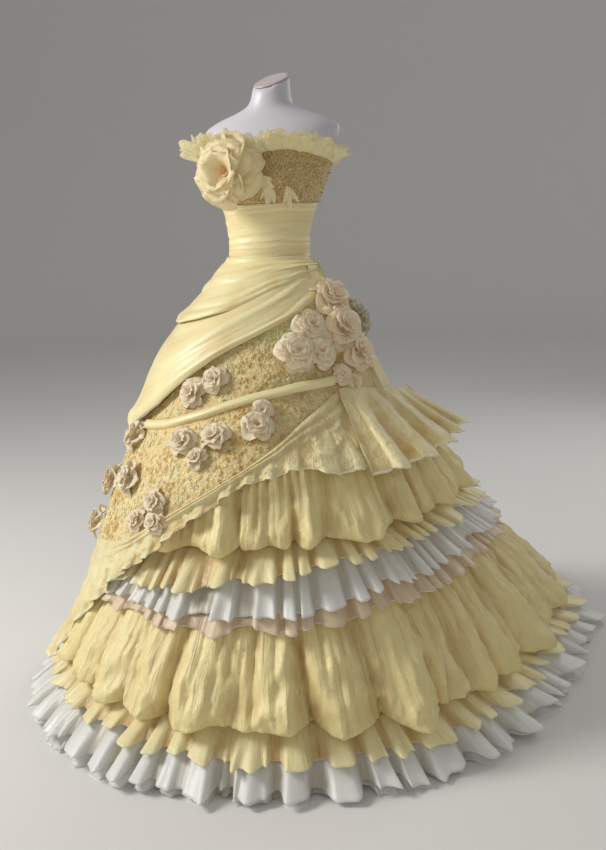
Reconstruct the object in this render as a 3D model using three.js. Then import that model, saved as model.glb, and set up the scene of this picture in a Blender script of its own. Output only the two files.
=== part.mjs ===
// A strapless ball gown with a draped, flounced overskirt and two tiers of puffed and ruffled skirt, on a
// limbless dress form with a pole and a round foot. Millimetres, +Z up, front towards -Y, the wearer's left
// towards +X. The origin is the centre of the foot's underside. Angles are in degrees about +Z, from +X
// towards +Y.
import * as THREE from 'three';

// Driving dimensions
const CLOTH = 2; // wall of every cloth piece
const SEAM_GAP = 0.7; // air between two sewn pieces
const BODY_COLUMNS = 36; // around the form and the foundation skirt: every ring has a whole multiple of it
const WAIST_HEIGHT = 1150;
const WAIST_SEAM_HEIGHT = 1113; // where the skirt is sewn to the wrap
const WRAP_TOP_HEIGHT = 1247; // where the wrap meets the bodice
const BODICE_OUT = 7.3; // the bodice's outer face, measured from the form's skin
const WRAP_OUT = [5.2, 2.8]; // the wrap's outer face, on the ridges and in the valleys of its pleats
const SEAT = CLOTH + SEAM_GAP + 0.6; // a sewn edge's outer face, measured from the face under it
const FULL_TURN = 360;
const SEAT_GROWTH = 0.035; // a seat grows by this share of its distance below a row, where facets twist more

const COLOURS = {
  shell: 0xe6e4ee, cap: 0xdccdd0, metal: 0xb9b9bd, yellow: 0xeedd9e, pale: 0xf3e8b8, gold: 0xd9a95c,
  lace: 0xe9c77a, white: 0xf2f1e6, blush: 0xecd0b4, cream: 0xf1e3c6, peach: 0xe8ba84, tulle: 0xe4dcc8,
};

// The dress form, as half ellipses: half width, depth in front and depth behind at each height.
const FORM_SECTIONS = [
  { height: 1500, half: 51, front: 48, back: 48 },
  { height: 1484, half: 60, front: 51, back: 55 },
  { height: 1470, half: 92, front: 55, back: 70 },
  { height: 1452, half: 144, front: 64, back: 86 },
  { height: 1430, half: 178, front: 76, back: 96 },
  { height: 1400, half: 178, front: 92, back: 103 },
  { height: 1360, half: 163, front: 108, back: 103 },
  { height: 1325, half: 149, front: 115, back: 100 },
  { height: 1290, half: 136, front: 108, back: 97 },
  { height: 1247, half: 121, front: 95, back: 92 },
  { height: 1200, half: 106, front: 84, back: 86 },
  { height: WAIST_HEIGHT, half: 98, front: 80, back: 84 },
  { height: WAIST_SEAM_HEIGHT, half: 102, front: 83, back: 90 },
  { height: 1080, half: 113, front: 90, back: 102 },
  { height: 1030, half: 134, front: 102, back: 116 },
  { height: 970, half: 146, front: 110, back: 124 },
  { height: 912, half: 143, front: 106, back: 118 },
  { height: 900, half: 132, front: 97, back: 108 },
];
const NECK = { height: 1543, slope: 19, towards: 70, half: 45, front: 42, back: 42, top: 6 };
const LEAN = { left: 14, back: 24 }; // how far the neck's top leans, to the wearer's left and to the back
const CUP = { spread: 27, angle: 20, height: 1332, rise: 46, depth: 13 };
const FOOT = { radius: 180, height: 20, boss: 40 };
const POLE_RADIUS = 15;

// The foundation skirt's outer face. tilt raises a row towards TILT_ANGLE, train pushes it out towards
// TRAIN_ANGLE and drawn pulls it in towards DRAWN_ANGLE.
const TILT_ANGLE = 20;
const TRAIN_ANGLE = 65;
const TRAIN_NARROWNESS = 4; // the power of the cosine that shapes the train
const DRAWN_ANGLE = 178;
const SKIRT_ROWS = [
  { height: WAIST_SEAM_HEIGHT - SEAM_GAP / 2, half: 105, front: 86, back: 93, tilt: 0, train: 0, drawn: 0 },
  { height: 1082, half: 119, front: 103, back: 111, tilt: 0, train: 0, drawn: 0 },
  { height: 1042, half: 147, front: 143, back: 147, tilt: 0, train: 0, drawn: 0 },
  { height: 995, half: 189, front: 189, back: 191, tilt: 0, train: 0, drawn: 0 },
  { height: 905, half: 240, front: 240, back: 244, tilt: 0, train: 4, drawn: 0 },
  { height: 742, half: 310, front: 316, back: 316, tilt: 0, train: 24, drawn: 0 },
  { height: 494, half: 404, front: 412, back: 410, tilt: 26, train: 110, drawn: 6 },
  { height: 330, half: 466, front: 472, back: 470, tilt: 10, train: 230, drawn: 18 },
  { height: 134, half: 568, front: 568, back: 568, tilt: -20, train: 370, drawn: 44 },
  { height: 62, half: 612, front: 612, back: 612, tilt: 0, train: 400, drawn: 46 },
];
const ROW = { puffTop: 5, middleSeam: 6, lowerSeam: 8 }; // places in SKIRT_ROWS

// How far the tiers stand out from the foundation, and so what the overskirt lies on.
const TIER_STANDOUT = [
  { height: 765, out: 1 }, { height: 742, out: 12 }, { height: 690, out: 50 }, { height: 620, out: 71 },
  { height: 550, out: 75 }, { height: 500, out: 80 }, { height: 430, out: 92 }, { height: 360, out: 91 },
  { height: 300, out: 84 }, { height: 220, out: 86 }, { height: 60, out: 84 },
];
// The share of that fullness left where the overskirt presses on the tiers, on the wearer's right.
const PRESSED = [
  { angle: -215, share: 1 }, { angle: -190, share: 0.55 }, { angle: -130, share: 0.5 },
  { angle: -110, share: 0.75 }, { angle: -90, share: 1 }, { angle: 145, share: 1 },
];

// Edges of the draped pieces: the height of each edge at each angle.
const SWATHE_1_EDGE = [
  { angle: -196, height: 985 }, { angle: -170, height: 962 }, { angle: -143, height: 965 },
  { angle: -119, height: 980 }, { angle: -98, height: 1000 }, { angle: -71, height: 1040 },
  { angle: -39, height: 1074 }, { angle: -6, height: 1084 },
];
const SWATHE_2_EDGE = [
  { angle: -194, height: 740 }, { angle: -170, height: 695 }, { angle: -150, height: 702 },
  { angle: -129, height: 776 }, { angle: -116, height: 838 }, { angle: -96, height: 905 },
  { angle: -74, height: 950 }, { angle: -32, height: 1016 }, { angle: -12, height: 1040 },
];
const LACE_EDGE = [
  { angle: -192, height: 480 }, { angle: -170, height: 425 }, { angle: -150, height: 415 },
  { angle: -124, height: 452 }, { angle: -103, height: 545 }, { angle: -93, height: 590 },
  { angle: -79, height: 650 }, { angle: -61, height: 728 }, { angle: -40, height: 792 },
  { angle: -16, height: 838 },
];
const OVERSKIRT_HEM = [
  { angle: -190, height: 330 }, { angle: -178, height: 150 }, { angle: -166, height: 82 },
  { angle: -154, height: 92 }, { angle: -145, height: 190 }, { angle: -136, height: 285 },
  { angle: -126, height: 360 }, { angle: -118, height: 410 }, { angle: -95, height: 552 },
  { angle: -87, height: 600 }, { angle: -78, height: 632 }, { angle: -65, height: 658 },
  { angle: -50, height: 642 }, { angle: -14, height: 648 },
];
const LACE_FOLD_LINE = [
  { angle: -146, height: 715 }, { angle: -121, height: 735 }, { angle: -101, height: 767 },
  { angle: -84, height: 798 }, { angle: -59, height: 822 }, { angle: -32, height: 834 },
];
const LAYER = { overskirt: 3, lace: 7.2, swathe2: 10.8, swathe1: 14.4, tab: 17.4, jabot: 10.4 };
const TUCK = 14; // how far a draped piece runs on under the one above it

const NECKLINE = [
  { angle: -180, height: 1345 }, { angle: -150, height: 1358 }, { angle: -120, height: 1377 },
  { angle: -103, height: 1380 }, { angle: -90, height: 1368 }, { angle: -77, height: 1380 },
  { angle: -60, height: 1378 }, { angle: -30, height: 1362 }, { angle: 0, height: 1348 },
  { angle: 90, height: 1336 }, { angle: 180, height: 1345 },
];

// Hems of the ruffles: their height at each angle.
const HEMS = {
  middleYellow: [
    { angle: -180, height: 375 }, { angle: -114, height: 385 }, { angle: -94, height: 405 },
    { angle: -60, height: 448 }, { angle: -30, height: 474 }, { angle: 0, height: 480 },
    { angle: 90, height: 440 }, { angle: 180, height: 375 },
  ],
  middleWhite: [
    { angle: -180, height: 345 }, { angle: -90, height: 348 }, { angle: -65, height: 355 },
    { angle: -40, height: 395 }, { angle: 0, height: 412 }, { angle: 90, height: 380 },
    { angle: 180, height: 345 },
  ],
  middleBlush: [
    { angle: -180, height: 322 }, { angle: -70, height: 322 }, { angle: -40, height: 350 },
    { angle: 0, height: 366 }, { angle: 90, height: 348 }, { angle: 180, height: 322 },
  ],
  lowerYellow: [
    { angle: -180, height: 104 }, { angle: -110, height: 100 }, { angle: -76, height: 72 },
    { angle: -40, height: 70 }, { angle: 0, height: 78 }, { angle: 90, height: 72 },
    { angle: 180, height: 104 },
  ],
  lowerWhite: [
    { angle: -180, height: 36 }, { angle: -110, height: 36 }, { angle: -80, height: 20 },
    { angle: -30, height: 18 }, { angle: 0, height: 32 }, { angle: 90, height: 24 },
    { angle: 180, height: 36 },
  ],
  lowerVeil: [{ angle: -180, height: 6 }, { angle: 180, height: 6 }],
};

// Roses: radius of each, and the angle and height of its centre
const ROSE_FOOT = 0.5; // the share of a rose's radius that rests on the cloth
const HIP_ROSES = [
  { angle: -22, height: 1008, radius: 29 }, { angle: -27, height: 940, radius: 32 },
  { angle: -47, height: 950, radius: 23 }, { angle: -58, height: 894, radius: 27 },
  { angle: -45, height: 890, radius: 22 }, { angle: -21, height: 882, radius: 25 },
  { angle: -35, height: 838, radius: 15 }, { angle: -29, height: 818, radius: 11 },
];
const LACE_ROSES = [
  { angle: -110, height: 805, radius: 22 }, { angle: -99, height: 838, radius: 20 },
  { angle: -75, height: 774, radius: 15 }, { angle: -77, height: 738, radius: 23 },
  { angle: -106, height: 702, radius: 21 }, { angle: -92, height: 716, radius: 22 },
  { angle: -97, height: 672, radius: 17 }, { angle: -141, height: 687, radius: 24 },
  { angle: -130, height: 600, radius: 25 }, { angle: -156, height: 556, radius: 26 },
  { angle: -110, height: 572, radius: 19 }, { angle: -108, height: 530, radius: 18 },
  { angle: -117, height: 524, radius: 17 }, { angle: -160, height: 440, radius: 25 },
];
const BUST_PIECES = [
  { name: 'bust_rose', angle: -110, height: 1326, radius: 57, depth: 38, sides: 12, colour: 'peach' },
  { name: 'bust_leaf_1', angle: -84, height: 1292, radius: 17, depth: 8, sides: 6, colour: 'pale' },
  { name: 'bust_leaf_2', angle: -72, height: 1274, radius: 15, depth: 7, sides: 6, colour: 'pale' },
  { name: 'bust_leaf_3', angle: -56, height: 1270, radius: 14, depth: 7, sides: 6, colour: 'pale' },
];
const TUFT = { angle: -2, height: 956, radius: 48, depth: 56 };

// Short functions on tables and angles
const radians = THREE.MathUtils.degToRad;
const mix = THREE.MathUtils.lerp;
const smooth = THREE.MathUtils.smoothstep;

function lookUp(table, key, at, column) {
  const rising = [...table].sort((a, b) => a[key] - b[key]);
  const next = rising.findIndex((row) => row[key] >= at);
  if (next === 0) return rising[0][column];
  if (next < 0) return rising.at(-1)[column];
  const [low, high] = [rising[next - 1], rising[next]];
  return mix(low[column], high[column], (at - low[key]) / (high[key] - low[key]));
}

const heightAt = (edge, angle) => lookUp(edge, 'angle', angle, 'height');
const halfTurn = (angle) => ((((angle + 180) % FULL_TURN) + FULL_TURN) % FULL_TURN) - 180;
const wave = (count, angle) => Math.cos(radians(count * angle));
const outward = (angle) => new THREE.Vector3(Math.cos(radians(angle)), Math.sin(radians(angle)), 0);

// The overskirt presses on the tiers down to the lower ruffles.
function pressed(angle, height) {
  const share = lookUp(PRESSED, 'angle', angle > 145 ? angle - FULL_TURN : angle, 'share');
  return mix(1, share, smooth(height, 40, 150));
}

function ellipsePoint(section, angle, out, height) {
  const turn = radians(angle);
  const depth = Math.sin(turn) < 0 ? section.front : section.back;
  return new THREE.Vector3((section.half + out) * Math.cos(turn), (depth + out) * Math.sin(turn), height);
}

// The form and the bodice on it lean a little above the waist.
function leaning(point) {
  const share = Math.max(0, point.z - WAIST_HEIGHT) / (NECK.height - WAIST_HEIGHT);
  return point.add(new THREE.Vector3(LEAN.left * share, LEAN.back * share, 0));
}

// The dress form's skin at an angle and a height, moved out. Between two sections it is straight.
function formPoint(angle, height, out) {
  const below = Math.max(FORM_SECTIONS.findIndex((section) => section.height <= height), 1);
  const [high, low] = [FORM_SECTIONS[below - 1], FORM_SECTIONS[below]].map((section) => {
    const aside = (Math.abs(halfTurn(angle + 90)) - CUP.spread) / CUP.angle;
    const above = (section.height - CUP.height) / CUP.rise;
    const cup = CUP.depth * Math.exp(-aside * aside - above * above);
    return ellipsePoint({ ...section, front: section.front + cup }, angle, out, section.height);
  });
  return leaning(low.lerp(high, (height - low.z) / (high.z - low.z)));
}

// A face is a grid of points, a column every step degrees and rows running down. surfaceAt gives the point of
// its facets at an angle and a height, or nothing beyond its edges unless it may run on past them.
function surfaceAt({ grid, from, step }, angle, height, runOn = false) {
  const across = (angle - from) / step;
  const column = THREE.MathUtils.clamp(Math.floor(across + 1e-6), 0, grid.length - 2);
  const s = across - column;
  const heights = grid[column].map((point, row) => mix(point.z, grid[column + 1][row].z, s));
  const outside = s < 0 || s > 1.001 || height > heights[0] || height < heights.at(-1);
  if (outside && !runOn) return null;
  const below = heights.findIndex((value) => value <= height);
  const row = below < 0 ? heights.length - 2 : Math.max(below - 1, 0);
  const t = (heights[row] - height) / (heights[row] - heights[row + 1]);
  const [topRight, bottomLeft] = [grid[column + 1][row].clone(), grid[column][row + 1].clone()];
  if (s + t <= 1) {
    const corner = grid[column][row];
    return corner.clone().addScaledVector(topRight.sub(corner), s).addScaledVector(bottomLeft.sub(corner), t);
  }
  const corner = grid[column + 1][row + 1];
  const towardsLeft = bottomLeft.sub(corner).multiplyScalar(1 - s);
  return corner.clone().add(towardsLeft).addScaledVector(topRight.sub(corner), 1 - t);
}

// The height of a face's lower edge at an angle
function surfaceEdge({ grid, from, step }, angle) {
  const column = THREE.MathUtils.clamp(Math.floor((angle - from) / step + 1e-6), 0, grid.length - 2);
  return mix(grid[column].at(-1).z, grid[column + 1].at(-1).z, (angle - from) / step - column);
}

// The foundation skirt's outer face
function rowHeight(row, angle) {
  return SKIRT_ROWS[row].height + SKIRT_ROWS[row].tilt * Math.cos(radians(angle - TILT_ANGLE));
}

function skirtCorner(angle, row) {
  const { train, drawn } = SKIRT_ROWS[row];
  const towards = (direction, power) => Math.max(0, Math.cos(radians(angle - direction))) ** power;
  const out = train * towards(TRAIN_ANGLE, TRAIN_NARROWNESS) - drawn * towards(DRAWN_ANGLE, 2);
  return ellipsePoint(SKIRT_ROWS[row], angle, out, rowHeight(row, angle));
}

const SKIRT_STEP = FULL_TURN / BODY_COLUMNS;
const skirtFace = {
  from: -FULL_TURN,
  step: SKIRT_STEP,
  grid: Array.from({ length: 2 * BODY_COLUMNS + 1 }, (_, column) => (
    SKIRT_ROWS.map((_, row) => skirtCorner(column * SKIRT_STEP - FULL_TURN, row))
  )),
};

function besideSkirt(angle, height, out) {
  return surfaceAt(skirtFace, angle, height, true).addScaledVector(outward(angle), out);
}

// A draped piece's outer face lies over the tiers, with its own layer and fullness.
function drapedPoint(angle, height, out) {
  const overTiers = lookUp(TIER_STANDOUT, 'height', height, 'out') * pressed(angle, height);
  return besideSkirt(angle, height, overTiers + out);
}

// Geometry builders
function meshOf(name, positions, indices, colour, roughness = 0.8, metalness = 0) {
  const geometry = new THREE.BufferGeometry();
  const numbers = positions.flatMap((point) => [point.x, point.y, point.z]);
  geometry.setAttribute('position', new THREE.Float32BufferAttribute(numbers, 3));
  geometry.setIndex(indices.flat());
  geometry.computeVertexNormals();
  const material = new THREE.MeshStandardMaterial({ color: colour, roughness, metalness });
  const mesh = new THREE.Mesh(geometry, material);
  mesh.name = name;
  return mesh;
}

// A cloth wall: its outer face is a grid of points, its inner face the same grid moved in along the normals.
// Columns run anticlockwise seen from above, and rows run down. A closed wall joins its last column to its
// first.
function clothWall({ name, columns, rows, from = 0, to = FULL_TURN, colour, point, thickness = CLOTH }) {
  const closed = to - from === FULL_TURN;
  const across = closed ? columns : columns + 1;
  const step = (to - from) / columns;
  const grid = Array.from({ length: across }, (_, u) => (
    Array.from({ length: rows + 1 }, (_, v) => point(from + step * u, v, rows))
  ));
  const column = (u) => (
    closed ? grid[(u + across) % across] : grid[THREE.MathUtils.clamp(u, 0, across - 1)]
  );
  const inner = [];
  for (let u = 0; u < across; u++) {
    for (let v = 0; v <= rows; v++) {
      const along = column(u + 1)[v].clone().sub(column(u - 1)[v]);
      const down = grid[u][Math.min(v + 1, rows)].clone().sub(grid[u][Math.max(v - 1, 0)]);
      inner.push(grid[u][v].clone().addScaledVector(down.cross(along).normalize(), -thickness));
    }
  }
  const at = (u, v, side) => side * inner.length + (u % across) * (rows + 1) + v;
  const indices = [];
  const quad = (a, b, c, d) => indices.push([a, b, c], [a, c, d]);
  for (let u = 0; u < columns; u++) {
    for (let v = 0; v < rows; v++) {
      indices.push([at(u, v, 0), at(u, v + 1, 0), at(u + 1, v, 0)]);
      indices.push([at(u + 1, v, 0), at(u, v + 1, 0), at(u + 1, v + 1, 0)]);
      indices.push([at(u, v, 1), at(u + 1, v, 1), at(u, v + 1, 1)]);
      indices.push([at(u + 1, v, 1), at(u + 1, v + 1, 1), at(u, v + 1, 1)]);
    }
    quad(at(u, 0, 0), at(u + 1, 0, 0), at(u + 1, 0, 1), at(u, 0, 1));
    quad(at(u + 1, rows, 0), at(u, rows, 0), at(u, rows, 1), at(u + 1, rows, 1));
  }
  for (let v = 0; v < rows && !closed; v++) {
    quad(at(0, v + 1, 0), at(0, v, 0), at(0, v, 1), at(0, v + 1, 1));
    quad(at(columns, v, 0), at(columns, v + 1, 0), at(columns, v + 1, 1), at(columns, v, 1));
  }
  const mesh = meshOf(name, [...grid.flat(), ...inner], indices, colour);
  mesh.userData.face = { grid: closed ? [...grid, grid[0]] : grid, from, step };
  return mesh;
}

// A closed solid through rings of points, from the lowest ring to the highest, closed by a point at each end
function ringSolid({ name, rings, bottom, top, colour, roughness, metalness }) {
  const around = rings[0].length;
  const positions = [bottom, ...rings.flat(), top];
  const at = (ring, k) => 1 + ring * around + (k % around);
  const indices = [];
  for (let k = 0; k < around; k++) {
    indices.push([0, at(0, k + 1), at(0, k)]);
    for (let ring = 0; ring < rings.length - 1; ring++) {
      indices.push([at(ring, k), at(ring, k + 1), at(ring + 1, k)]);
      indices.push([at(ring, k + 1), at(ring + 1, k + 1), at(ring + 1, k)]);
    }
    indices.push([at(rings.length - 1, k), at(rings.length - 1, k + 1), positions.length - 1]);
  }
  return meshOf(name, positions, indices, colour, roughness, metalness);
}

const aroundBody = (make) => Array.from({ length: BODY_COLUMNS }, (_, k) => make(SKIRT_STEP * k));

// The stand and the form
const neckTop = (angle) => NECK.height + NECK.slope * Math.cos(radians(angle - NECK.towards));

function dressForm() {
  const rings = [...FORM_SECTIONS].reverse().map(({ height }) => (
    aroundBody((angle) => formPoint(angle, height, 0))
  ));
  const neckHeight = (angle, share) => mix(FORM_SECTIONS[0].height, neckTop(angle), share);
  const neckRing = (out, share) => (
    aroundBody((angle) => leaning(ellipsePoint(NECK, angle, out, neckHeight(angle, share))))
  );
  rings.push(neckRing(3, 0.6), neckRing(0, 1));
  const bottom = new THREE.Vector3(0, 0, FORM_SECTIONS.at(-1).height);
  const top = leaning(new THREE.Vector3(0, 0, NECK.height));
  return ringSolid({ name: 'form_torso', rings, bottom, top, colour: COLOURS.shell, roughness: 0.45 });
}

function neckCap() {
  const capRing = (inset, rise) => aroundBody((angle) => (
    leaning(ellipsePoint(NECK, angle, -inset, neckTop(angle))).add(new THREE.Vector3(0, 0, SEAM_GAP + rise))
  )).filter((_, k) => k % 2 === 0);
  const middle = (rise) => (
    leaning(new THREE.Vector3(0, 0, NECK.height)).add(new THREE.Vector3(0, 0, SEAM_GAP + rise))
  );
  return ringSolid({
    name: 'form_neck_cap', rings: [capRing(1, 0), capRing(1, 4), capRing(4, NECK.top)],
    bottom: middle(0), top: middle(NECK.top), colour: COLOURS.cap, roughness: 0.6,
  });
}

function standPiece(name, sides, profile) {
  const points = profile.map(({ radius, height }) => new THREE.Vector2(radius, height));
  const geometry = new THREE.LatheGeometry(points, sides).rotateX(Math.PI / 2);
  const chrome = new THREE.MeshStandardMaterial({ color: COLOURS.metal, roughness: 0.3, metalness: 0.9 });
  const mesh = new THREE.Mesh(geometry, chrome);
  mesh.name = name;
  return mesh;
}

function stand() {
  const poleTop = FORM_SECTIONS.at(-1).height - SEAM_GAP;
  const foot = standPiece('stand_foot', 24, [
    { radius: 0, height: 0 }, { radius: FOOT.radius, height: 0 }, { radius: FOOT.radius, height: 6 },
    { radius: FOOT.radius - 8, height: 12 }, { radius: FOOT.boss, height: FOOT.height },
    { radius: 0, height: FOOT.height },
  ]);
  const poleBottom = FOOT.height + SEAM_GAP;
  const pole = standPiece('stand_pole', 14, [
    { radius: 0, height: poleBottom }, { radius: POLE_RADIUS, height: poleBottom },
    { radius: POLE_RADIUS, height: poleTop }, { radius: 0, height: poleTop },
  ]);
  return [foot, pole];
}

// The bodice
function bodice() {
  return clothWall({
    name: 'bodice_shell', columns: BODY_COLUMNS, rows: 4, colour: COLOURS.gold,
    point: (angle, v, rows) => {
      const height = mix(heightAt(NECKLINE, halfTurn(angle)), WRAP_TOP_HEIGHT + SEAM_GAP / 2, v / rows);
      return formPoint(angle, height, BODICE_OUT);
    },
  });
}

function necklineRuffle() {
  const [waves, stands, lean, depth] = [18, 30, 9, 6];
  return clothWall({
    name: 'neckline_ruffle', columns: BODY_COLUMNS * 2, rows: 1, colour: COLOURS.pale, thickness: 1.5,
    point: (angle, v) => {
      const seam = heightAt(NECKLINE, halfTurn(angle)) + SEAM_GAP;
      if (v === 1) return formPoint(angle, seam, BODICE_OUT);
      return formPoint(angle, seam + stands, BODICE_OUT + lean + depth * wave(waves, angle));
    },
  });
}

function midriffWrap() {
  return clothWall({
    name: 'midriff_wrap', columns: BODY_COLUMNS, rows: 5, colour: COLOURS.yellow,
    point: (angle, v, rows) => {
      const height = mix(WRAP_TOP_HEIGHT - SEAM_GAP / 2, WAIST_SEAM_HEIGHT + SEAM_GAP / 2, v / rows);
      return formPoint(angle, height, WRAP_OUT[v % 2]);
    },
  });
}

// The foundation and the tiers
function foundationSkirt() {
  return clothWall({
    name: 'foundation_skirt', columns: BODY_COLUMNS, rows: SKIRT_ROWS.length - 1, colour: COLOURS.yellow,
    point: (angle, v) => skirtCorner(angle, v),
  });
}

// A puffed tier: gathered to the foundation along its top and its bottom, full in waves between. Each row of
// its profile has how far down it lies, how far it stands out and how deep its waves are.
function puffTier({ name, waves, top, seat = SEAT, bottom, profile, colour }) {
  return clothWall({
    name, columns: BODY_COLUMNS * 2, rows: profile.length - 1, colour,
    point: (angle, v) => {
      const { fall, out, depth } = profile[v];
      const height = mix(top(angle), bottom(angle), fall);
      const fullness = (out + depth * wave(waves, angle)) * pressed(halfTurn(angle), height);
      return besideSkirt(angle, height, mix(seat, SEAT, fall) + fullness);
    },
  });
}

// A ruffle: sewn flat to the foundation at its top, waved and standing out at its hem
function ruffle({ name, multiple, waves, top, seat = SEAT, hem, out, depth, rows = 1, colour }) {
  return clothWall({
    name, columns: BODY_COLUMNS * multiple, rows, colour,
    point: (angle, v) => {
      const share = v / rows;
      const height = mix(top(angle), heightAt(hem, halfTurn(angle)), share);
      const fullness = (out + depth * wave(waves, angle)) * pressed(halfTurn(angle), height);
      return besideSkirt(angle, height, seat + fullness * share ** 0.8);
    },
  });
}

function tiers() {
  const below = (row, drop) => (angle) => rowHeight(row, angle) - drop;
  const seatBelow = (drop) => SEAT + SEAT_GROWTH * drop;
  const { puffTop, middleSeam, lowerSeam } = ROW;
  return [
    puffTier({
      name: 'puff_tier_upper', waves: 18, top: below(puffTop, 0), bottom: below(middleSeam, 0),
      colour: COLOURS.yellow,
      profile: [
        { fall: 0, out: 0, depth: 0 }, { fall: 0.24, out: 32, depth: 7 }, { fall: 0.55, out: 52, depth: 10 },
        { fall: 0.86, out: 50, depth: 10 }, { fall: 1, out: 0, depth: 0 },
      ],
    }),
    ruffle({
      name: 'middle_ruffle_yellow', multiple: 2, waves: 18, top: below(middleSeam, 6),
      hem: HEMS.middleYellow, out: 68, depth: 14, colour: COLOURS.pale,
    }),
    ruffle({
      name: 'middle_ruffle_white', multiple: 2, waves: 18, top: below(middleSeam, 18), seat: seatBelow(18),
      hem: HEMS.middleWhite, out: 64, depth: 14, colour: COLOURS.white,
    }),
    ruffle({
      name: 'middle_ruffle_blush', multiple: 2, waves: 18, top: below(middleSeam, 34), seat: seatBelow(34),
      hem: HEMS.middleBlush, out: 50, depth: 8, colour: COLOURS.blush,
    }),
    puffTier({
      name: 'puff_tier_lower', waves: 18, top: below(middleSeam, 50), seat: seatBelow(50),
      bottom: below(lowerSeam, 0), colour: COLOURS.yellow,
      profile: [
        { fall: 0, out: 0, depth: 0 }, { fall: 0.22, out: 5, depth: 1 }, { fall: 0.48, out: 36, depth: 9 },
        { fall: 0.72, out: 62, depth: 13 }, { fall: 0.92, out: 56, depth: 12 }, { fall: 1, out: 0, depth: 0 },
      ],
    }),
    ruffle({
      name: 'lower_ruffle_yellow', multiple: 3, waves: 27, top: below(lowerSeam, 5), seat: seatBelow(5),
      hem: HEMS.lowerYellow, out: 62, depth: 13, colour: COLOURS.pale,
    }),
    ruffle({
      name: 'lower_ruffle_white', multiple: 3, waves: 27, top: below(lowerSeam, 15), seat: seatBelow(15),
      hem: HEMS.lowerWhite, out: 70, depth: 15, rows: 2, colour: COLOURS.white,
    }),
    ruffle({
      name: 'lower_veil', multiple: 2, waves: 18, top: below(lowerSeam, 32), seat: seatBelow(32),
      hem: HEMS.lowerVeil, out: 46, depth: 6, colour: COLOURS.white,
    }),
  ];
}

// The draped pieces. Each has an upper and a lower edge, and its first and last rows are as tall as the tuck
// under the piece above or over the piece below, so that facets which lie on each other are parallel.
function drapedPiece({ name, from, to, step, rows, tucks = [TUCK, TUCK], colour, upper, lower, out }) {
  return clothWall({
    name, columns: (to - from) / step, rows, from, to, colour,
    point: (angle, v) => {
      const [top, bottom] = [upper(angle), lower(angle)];
      const inside = mix(top - tucks[0], bottom + tucks[1], (v - 1) / (rows - 2));
      const height = v === 0 ? top : v === rows ? bottom : inside;
      return drapedPoint(angle, height, out(angle, v / rows));
    },
  });
}

const bulge = (angle) => smooth(-angle, 60, 130);

function drapes() {
  const atHip = (angle) => smooth(angle, -40, 15);
  return [
    drapedPiece({
      name: 'lace_panel', from: -190, to: -10, step: 10, rows: 6, colour: COLOURS.lace,
      upper: (angle) => heightAt(SWATHE_2_EDGE, angle) + TUCK,
      lower: (angle) => heightAt(LACE_EDGE, angle),
      out: () => LAYER.lace,
    }),
    drapedPiece({
      name: 'swathe_lower', from: -190, to: -10, step: 10, rows: 6, colour: COLOURS.pale,
      upper: (angle) => heightAt(SWATHE_1_EDGE, angle) + TUCK,
      lower: (angle) => heightAt(SWATHE_2_EDGE, angle),
      out: (angle, v) => LAYER.swathe2 + 38 * bulge(angle) * Math.sin(Math.PI * 0.82 * v),
    }),
    drapedPiece({
      name: 'swathe_upper', from: -190, to: -10, step: 10, rows: 4, tucks: [8, TUCK], colour: COLOURS.yellow,
      upper: () => WAIST_SEAM_HEIGHT - 3, lower: (angle) => heightAt(SWATHE_1_EDGE, angle),
      out: (angle, v) => mix(SEAT, LAYER.swathe1, Math.min(1, 3 * v)) + 30 * bulge(angle) * v ** 3,
    }),
    drapedPiece({
      name: 'waist_tab', from: -30, to: -10, step: 10, rows: 3, tucks: [8, 8], colour: COLOURS.yellow,
      upper: () => 1100, lower: () => 1050, out: () => LAYER.tab,
    }),
    drapedPiece({
      name: 'hip_jabot', from: -40, to: 15, step: 5, rows: 4, colour: COLOURS.yellow,
      upper: (angle) => mix(812, 782, atHip(angle)), lower: (angle) => mix(636, 690, atHip(angle)),
      out: (angle, v) => (
        LAYER.jabot + 22 * atHip(angle) + v * (20 + 36 * atHip(angle)) + 10 * v * wave(24, angle + 40)
      ),
    }),
  ];
}

// The flounced overskirt comes out from under the lace, so its first two rows are made from the lace's face.
function overskirtFlounce(lace) {
  const hemWave = (angle) => wave(18, angle);
  const tucked = (angle, height) => (
    surfaceAt(lace.userData.face, angle, height).addScaledVector(outward(angle), LAYER.overskirt - LAYER.lace)
  );
  return clothWall({
    name: 'overskirt_flounce', columns: 35, rows: 5, from: -190, to: -15, colour: COLOURS.yellow,
    point: (angle, v, rows) => {
      const edge = surfaceEdge(lace.userData.face, angle);
      if (v < 2) return tucked(angle, edge + (v === 0 ? TUCK : 0.01));
      const share = (v - 1) / (rows - 1);
      const height = mix(edge, heightAt(OVERSKIRT_HEM, angle) + 5 * hemWave(angle), share);
      return drapedPoint(angle, height, LAYER.overskirt + 6 * share * share * (1 + hemWave(angle)));
    },
  });
}

// The narrow fold that crosses the lace, made from the lace's own face
function laceFold(lace) {
  const [halfBand, rise, seat] = [12, 5, SEAT + 4.4];
  return clothWall({
    name: 'lace_fold', columns: 10, rows: 2, from: -140, to: -40, colour: COLOURS.pale,
    point: (angle, v) => {
      const height = heightAt(LACE_FOLD_LINE, angle) + halfBand * (1 - v);
      const out = seat + (v === 1 ? rise : 0);
      return surfaceAt(lace.userData.face, angle, height).addScaledVector(outward(angle), out);
    },
  });
}

// Roses, petals and the tulle tuft
const numbered = (prefix, index) => `${prefix}_${String(index + 1).padStart(2, '0')}`;

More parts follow.
